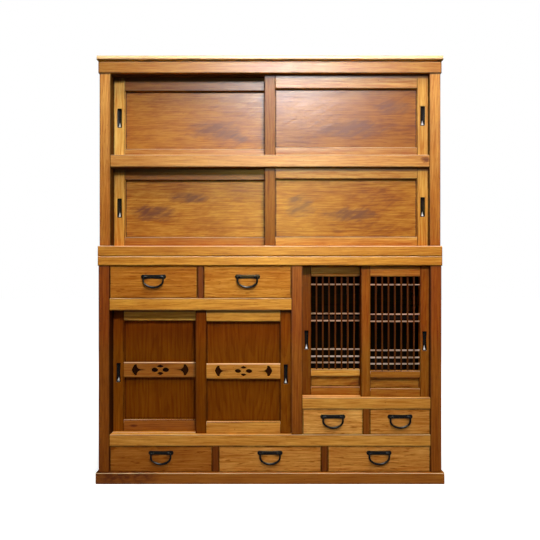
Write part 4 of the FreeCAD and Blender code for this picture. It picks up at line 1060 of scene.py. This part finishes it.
def inner_board(middle, half):
    """1 for inner framing behind the fronts and for thin strips, which have no lacquer."""
    return int(middle[1] > BEHIND_FRONTS_Y or half[0] < THIN_STRIP)


def rear_rail(middle, half):
    """1 for a level board at the back of the case."""
    return int(middle[1] > BACK_HALF_Y and half[0] > half[1])


def level_board(middle, half):
    """1 for a board that is wider than it is high."""
    return int(half[0] > half[2])


def door_finishes(kind, part):
    """The finishes of a door part's upright and level boards."""
    if part == "frame":
        return ("deep", "case") if kind == "openwork" else ("stile", "door")
    if part == "lattice":
        return "lattice", "level"
    if part == "band":
        return "case", "case"
    return ("sheltered", "sheltered") if kind == "openwork" else ("panel", "panel")


class MIZUYA_OT_case(bpy.types.Operator):
    """Rails, ledges, posts, floors and panels of both cases"""

    bl_idname = "mizuya.case"
    bl_label = "Cases"

    def execute(self, context):
        look = context.scene.mizuya_wood
        wood = wood_set()
        finishes = {
            "posts": "post",
            "inner_framing": "post",
            "frieze_frame": "door",
            "floors": "board",
            "case_panels": "board",
        }
        for node in frame["record"]["behaviour"]["bodies"]["carcass"]:
            width = look.fine_edge_width if node in ("case_panels", "floors") else look.edge_width
            outer = wood[finishes.get(node, "case")]
            if node == "inner_framing":
                board_piece(node, width, [outer, wood["board"]], inner_board)
            elif node.endswith(("_frame", "_shelf", "_rails")):
                board_piece(node, width, [outer, wood["board"]], rear_rail)
            else:
                board_piece(node, width, [outer])
        return {"FINISHED"}


class MIZUYA_OT_doors(bpy.types.Operator):
    """Frames, panels, pierced bands and lattices of the eight sliding doors"""

    bl_idname = "mizuya.doors"
    bl_label = "Sliding doors"

    def execute(self, context):
        look = context.scene.mizuya_wood
        wood = wood_set()
        for node in NODES:
            if "_door_" not in node or node.endswith("pull"):
                continue
            kind, _, _, part = node.split("_")
            width = look.fine_edge_width if part == "lattice" else look.edge_width
            board_piece(node, width, [wood[finish] for finish in door_finishes(kind, part)], level_board)
        return {"FINISHED"}


class MIZUYA_OT_drawers(bpy.types.Operator):
    """The seven drawer boxes"""

    bl_idname = "mizuya.drawers"
    bl_label = "Drawers"

    def execute(self, context):
        look = context.scene.mizuya_wood
        wood = wood_set()
        for node in NODES:
            if node.endswith("_drawer_box"):
                board_piece(node, look.edge_width, [wood["drawer"]])
        return {"FINISHED"}


class MIZUYA_OT_pulls(bpy.types.Operator):
    """The iron finger pulls let into the doors"""

    bl_idname = "mizuya.pulls"
    bl_label = "Finger pulls"

    def execute(self, context):
        _, iron = iron_set()
        for node in NODES:
            if not node.endswith("_door_pull"):
                continue
            low, high = corners(node)
            waist = 0.0 if node.startswith(("top", "middle")) else 2.0 * MM
            piece = grid_piece(node + "_cup", [pull_sheet(low, high, waist)])
            piece.data.materials.append(iron)
            place = mesh_points(piece.data) - (low + high) * (0.5, 0, 0) - low * (0, 1, 1)
            give(piece.data, "place", "FLOAT_VECTOR", place / (high - low) * (2, 1, 1))
            finish_piece(piece, node)
        return {"FINISHED"}


class MIZUYA_OT_handles(bpy.types.Operator):
    """Handle plates with their studs, and the bails that swing from them"""

    bl_idname = "mizuya.handles"
    bl_label = "Drawer handles"

    def execute(self, context):
        look = context.scene.mizuya_iron
        iron, _ = iron_set()
        for node in NODES:
            if not node.endswith("_drawer_handle_plate"):
                continue
            low, high = corners(node)
            bail_node = node.replace("handle_plate", "bail")
            bail_low, bail_high = corners(bail_node)
            middle_x = (low[0] + high[0]) / 2
            axis_y = (bail_low[1] + bail_high[1]) / 2
            axis_z = (low[2] + high[2]) / 2
            plate_y = axis_y + AXIS_TO_PLATE
            reach = look.stud_spacing / 2
            studs = [stud_sheet(middle_x + side * reach, plate_y, axis_z, look) for side in (-1, 1)]
            piece = grid_piece(node + "_iron", [plate_sheet(low, high, plate_y, look), *studs])
            join_mesh(piece, *shank_mesh(*merged_boards(node), plate_y + look.plate_rim))
            piece.data.materials.append(iron)
            finish_piece(piece, node)
            bail = grid_piece(bail_node + "_bar", [bail_sheet(middle_x, axis_y, axis_z, look)])
            bail.data.materials.append(iron)
            finish_piece(bail, bail_node)
        return {"FINISHED"}


def shank_mesh(points, faces, y_plate):
    """The triangles of the CAD studs that lie behind the plate: shanks and clenched legs."""
    behind = (points[faces][:, :, 1] > y_plate - 0.05 * MM).all(axis=1)
    kept = faces[behind]
    used, renumbered = np.unique(kept, return_inverse=True)
    return points[used], renumbered.reshape(-1, 3)


def join_mesh(piece, points, faces):
    """Adds loose points and triangles to a piece's mesh."""
    mesh = bpy.data.meshes.new("extra")
    mesh.from_pydata(points.tolist(), [], faces.tolist())
    work = bmesh.new()
    work.from_mesh(piece.data)
    work.from_mesh(mesh)
    work.to_mesh(piece.data)
    work.free()
    bpy.data.meshes.remove(mesh)


class MIZUYA_OT_stage(bpy.types.Operator):
    """Floor, lamps, surround and camera"""

    bl_idname = "mizuya.stage"
    bl_label = "Stage"

    def execute(self, context):
        studio = context.scene.mizuya_studio
        scene = context.scene
        scene.view_settings.view_transform = "Standard"
        self.floor()
        warm = (1.0, 0.97, 0.93)
        cool = (0.90, 0.95, 1.0)
        amber = (1.0, 0.66, 0.16)
        high, breast = (0.5, FRONT - 2.3, 2.6), (0.15, FRONT, 1.35)
        key = self.lamp("Key", high, breast, (0.8, 0.4), studio.key_power, warm)
        key.data.spread = math.radians(95)
        self.lamp("Top", (0.3, FRONT - 1.5, 3.9), (0.1, FRONT, 1.2), (1.2, 0.6), studio.top_power, warm)
        over, foot = (0.1, FRONT - 0.45, 2.7), (0.1, FRONT - 0.3, 0.0)
        self.lamp("Ceiling", over, foot, (0.9, 0.3), studio.ceiling_power, warm)
        self.lamp("Back", (-1.2, FRONT + 3.2, 2.2), (0.0, 0.2, 0.9), (1.6, 1.0), studio.back_power, warm)
        gloss = studio.gloss_power
        for sheen in (
            ("Gloss", (0.12, FRONT - 2.3, 2.55), (0.1, FRONT, 1.6), (0.7, 0.5), gloss, cool),
            ("Window", (0.08, FRONT - 2.5, 1.3), (0.08, FRONT, 1.0), (0.5, 0.6), gloss * 0.3, amber),
            ("Skylight", (0.1, FRONT - 0.5, 3.0), foot, (2.2, 0.4), gloss, cool),
        ):
            self.lamp(*sheen).visible_diffuse = False
        self.surround(scene, studio)
        camera = bpy.data.cameras.new("Camera")
        camera.sensor_width = 36.0
        camera.lens = camera.sensor_width * studio.camera_distance / studio.view_width
        camera.clip_end = 100.0
        stand = bpy.data.objects.new("Camera", camera)
        stand.location = (0.0, FRONT - studio.camera_distance, studio.camera_height)
        stand.rotation_euler = (math.radians(90), 0.0, 0.0)
        scene.collection.objects.link(stand)
        scene.camera = stand
        return {"FINISHED"}

    def floor(self):
        """A plain pale floor. What the camera sees of it is lifted to white where nothing shades it."""
        mesh = bpy.data.meshes.new("Floor")
        half = 14.0
        around = [(-half, -half, 0), (half, -half, 0), (half, half, 0), (-half, half, 0)]
        mesh.from_pydata(around, [], [(0, 1, 2, 3)])
        floor = bpy.data.objects.new("Floor", mesh)
        bpy.context.scene.collection.objects.link(floor)
        material = bpy.data.materials.new("floor_pale")
        nodes = Nodes(material)
        seen = self.seen(nodes)
        x, y, _ = nodes.parts(nodes.make("ShaderNodeTexCoord", (), (), 3))
        away = (x * x + y * y).root().rise(0.70, 1.05)
        pale = nodes.make("ShaderNodeBsdfDiffuse", (), {"Color": (0.60, 0.60, 0.59, 1.0)})
        matte = nodes.make("ShaderNodeBsdfDiffuse", (), {"Color": (0.30, 0.28, 0.25, 1.0)})
        strength = 0.80 + away * 0.22
        lift = nodes.make("ShaderNodeEmission", (), {"Color": (1.0, 1.0, 1.0, 1.0), "Strength": strength})
        both = nodes.make("ShaderNodeAddShader", (), (pale, lift))
        nodes.surface(nodes.make("ShaderNodeMixShader", (), (seen, matte, both)))
        mesh.materials.append(material)

    def seen(self, nodes):
        """1 for rays from the camera and for those that metal or glass reflects or passes on."""
        path = nodes.tree.nodes.new("ShaderNodeLightPath")
        kinds = ("Is Camera Ray", "Is Glossy Ray", "Is Transmission Ray")
        rays = [Value(nodes, path.outputs[kind]) for kind in kinds]
        return (rays[0] + rays[1] + rays[2]).clamped()

    def surround(self, scene, studio):
        """A faint even light from all round, and white for what sees the background itself."""
        world = bpy.data.worlds.new("Surround")
        scene.world = world
        nodes = Nodes(world)
        seen = self.seen(nodes)
        faint = {"Color": (1.0, 0.985, 0.96, 1.0), "Strength": studio.surround}
        plain = nodes.make("ShaderNodeBackground", (), faint)
        white = nodes.make("ShaderNodeBackground", (), {"Color": (1.0, 1.0, 1.0, 1.0), "Strength": 1.0})
        mixed = nodes.make("ShaderNodeMixShader", (), (seen, plain, white))
        end = nodes.tree.nodes.new("ShaderNodeOutputWorld")
        nodes.tree.links.new(mixed.socket, end.inputs["Surface"])

    def lamp(self, name, place, target, size, energy, hue):
        """A square lamp at place that faces target."""
        light = bpy.data.lights.new(name, "AREA")
        light.shape = "RECTANGLE"
        light.size, light.size_y = size
        light.energy = energy
        light.color = hue
        lamp = bpy.data.objects.new(name, light)
        lamp.location = place
        toward = np.array(target) - np.array(place)
        level = math.hypot(toward[0], toward[1])
        lamp.rotation_euler = (math.atan2(level, -toward[2]), 0.0, math.atan2(-toward[0], toward[1]))
        bpy.context.scene.collection.objects.link(lamp)
        return lamp


class MIZUYA_PT_panel(bpy.types.Panel):
    """Lists the cabinet's operators and settings"""

    bl_idname = "MIZUYA_PT_panel"
    bl_label = "Mizuya cabinet"
    bl_space_type = "VIEW_3D"
    bl_region_type = "UI"
    bl_category = "Mizuya"

    def draw(self, context):
        for operator in OPERATORS:
            self.layout.operator(operator.bl_idname)
        for group in (context.scene.mizuya_wood, context.scene.mizuya_iron, context.scene.mizuya_studio):
            column = self.layout.column()
            for name in group.__annotations__:
                column.prop(group, name)


OPERATORS = (
    MIZUYA_OT_case,
    MIZUYA_OT_doors,
    MIZUYA_OT_drawers,
    MIZUYA_OT_pulls,
    MIZUYA_OT_handles,
    MIZUYA_OT_stage,
)
CLASSES = (MizuyaWood, MizuyaIron, MizuyaStudio, *OPERATORS, MIZUYA_PT_panel)


def register():
    for each in CLASSES:
        bpy.utils.register_class(each)
    bpy.types.Scene.mizuya_wood = bpy.props.PointerProperty(type=MizuyaWood)
    bpy.types.Scene.mizuya_iron = bpy.props.PointerProperty(type=MizuyaIron)
    bpy.types.Scene.mizuya_studio = bpy.props.PointerProperty(type=MizuyaStudio)


def unregister():
    del bpy.types.Scene.mizuya_studio
    del bpy.types.Scene.mizuya_iron
    del bpy.types.Scene.mizuya_wood
    for each in reversed(CLASSES):
        bpy.utils.unregister_class(each)


def main():
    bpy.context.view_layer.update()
    register()
    bpy.ops.mizuya.case()
    bpy.ops.mizuya.doors()
    bpy.ops.mizuya.drawers()
    bpy.ops.mizuya.pulls()
    bpy.ops.mizuya.handles()
    bpy.ops.mizuya.stage()


if __name__ == "__main__":
    main()
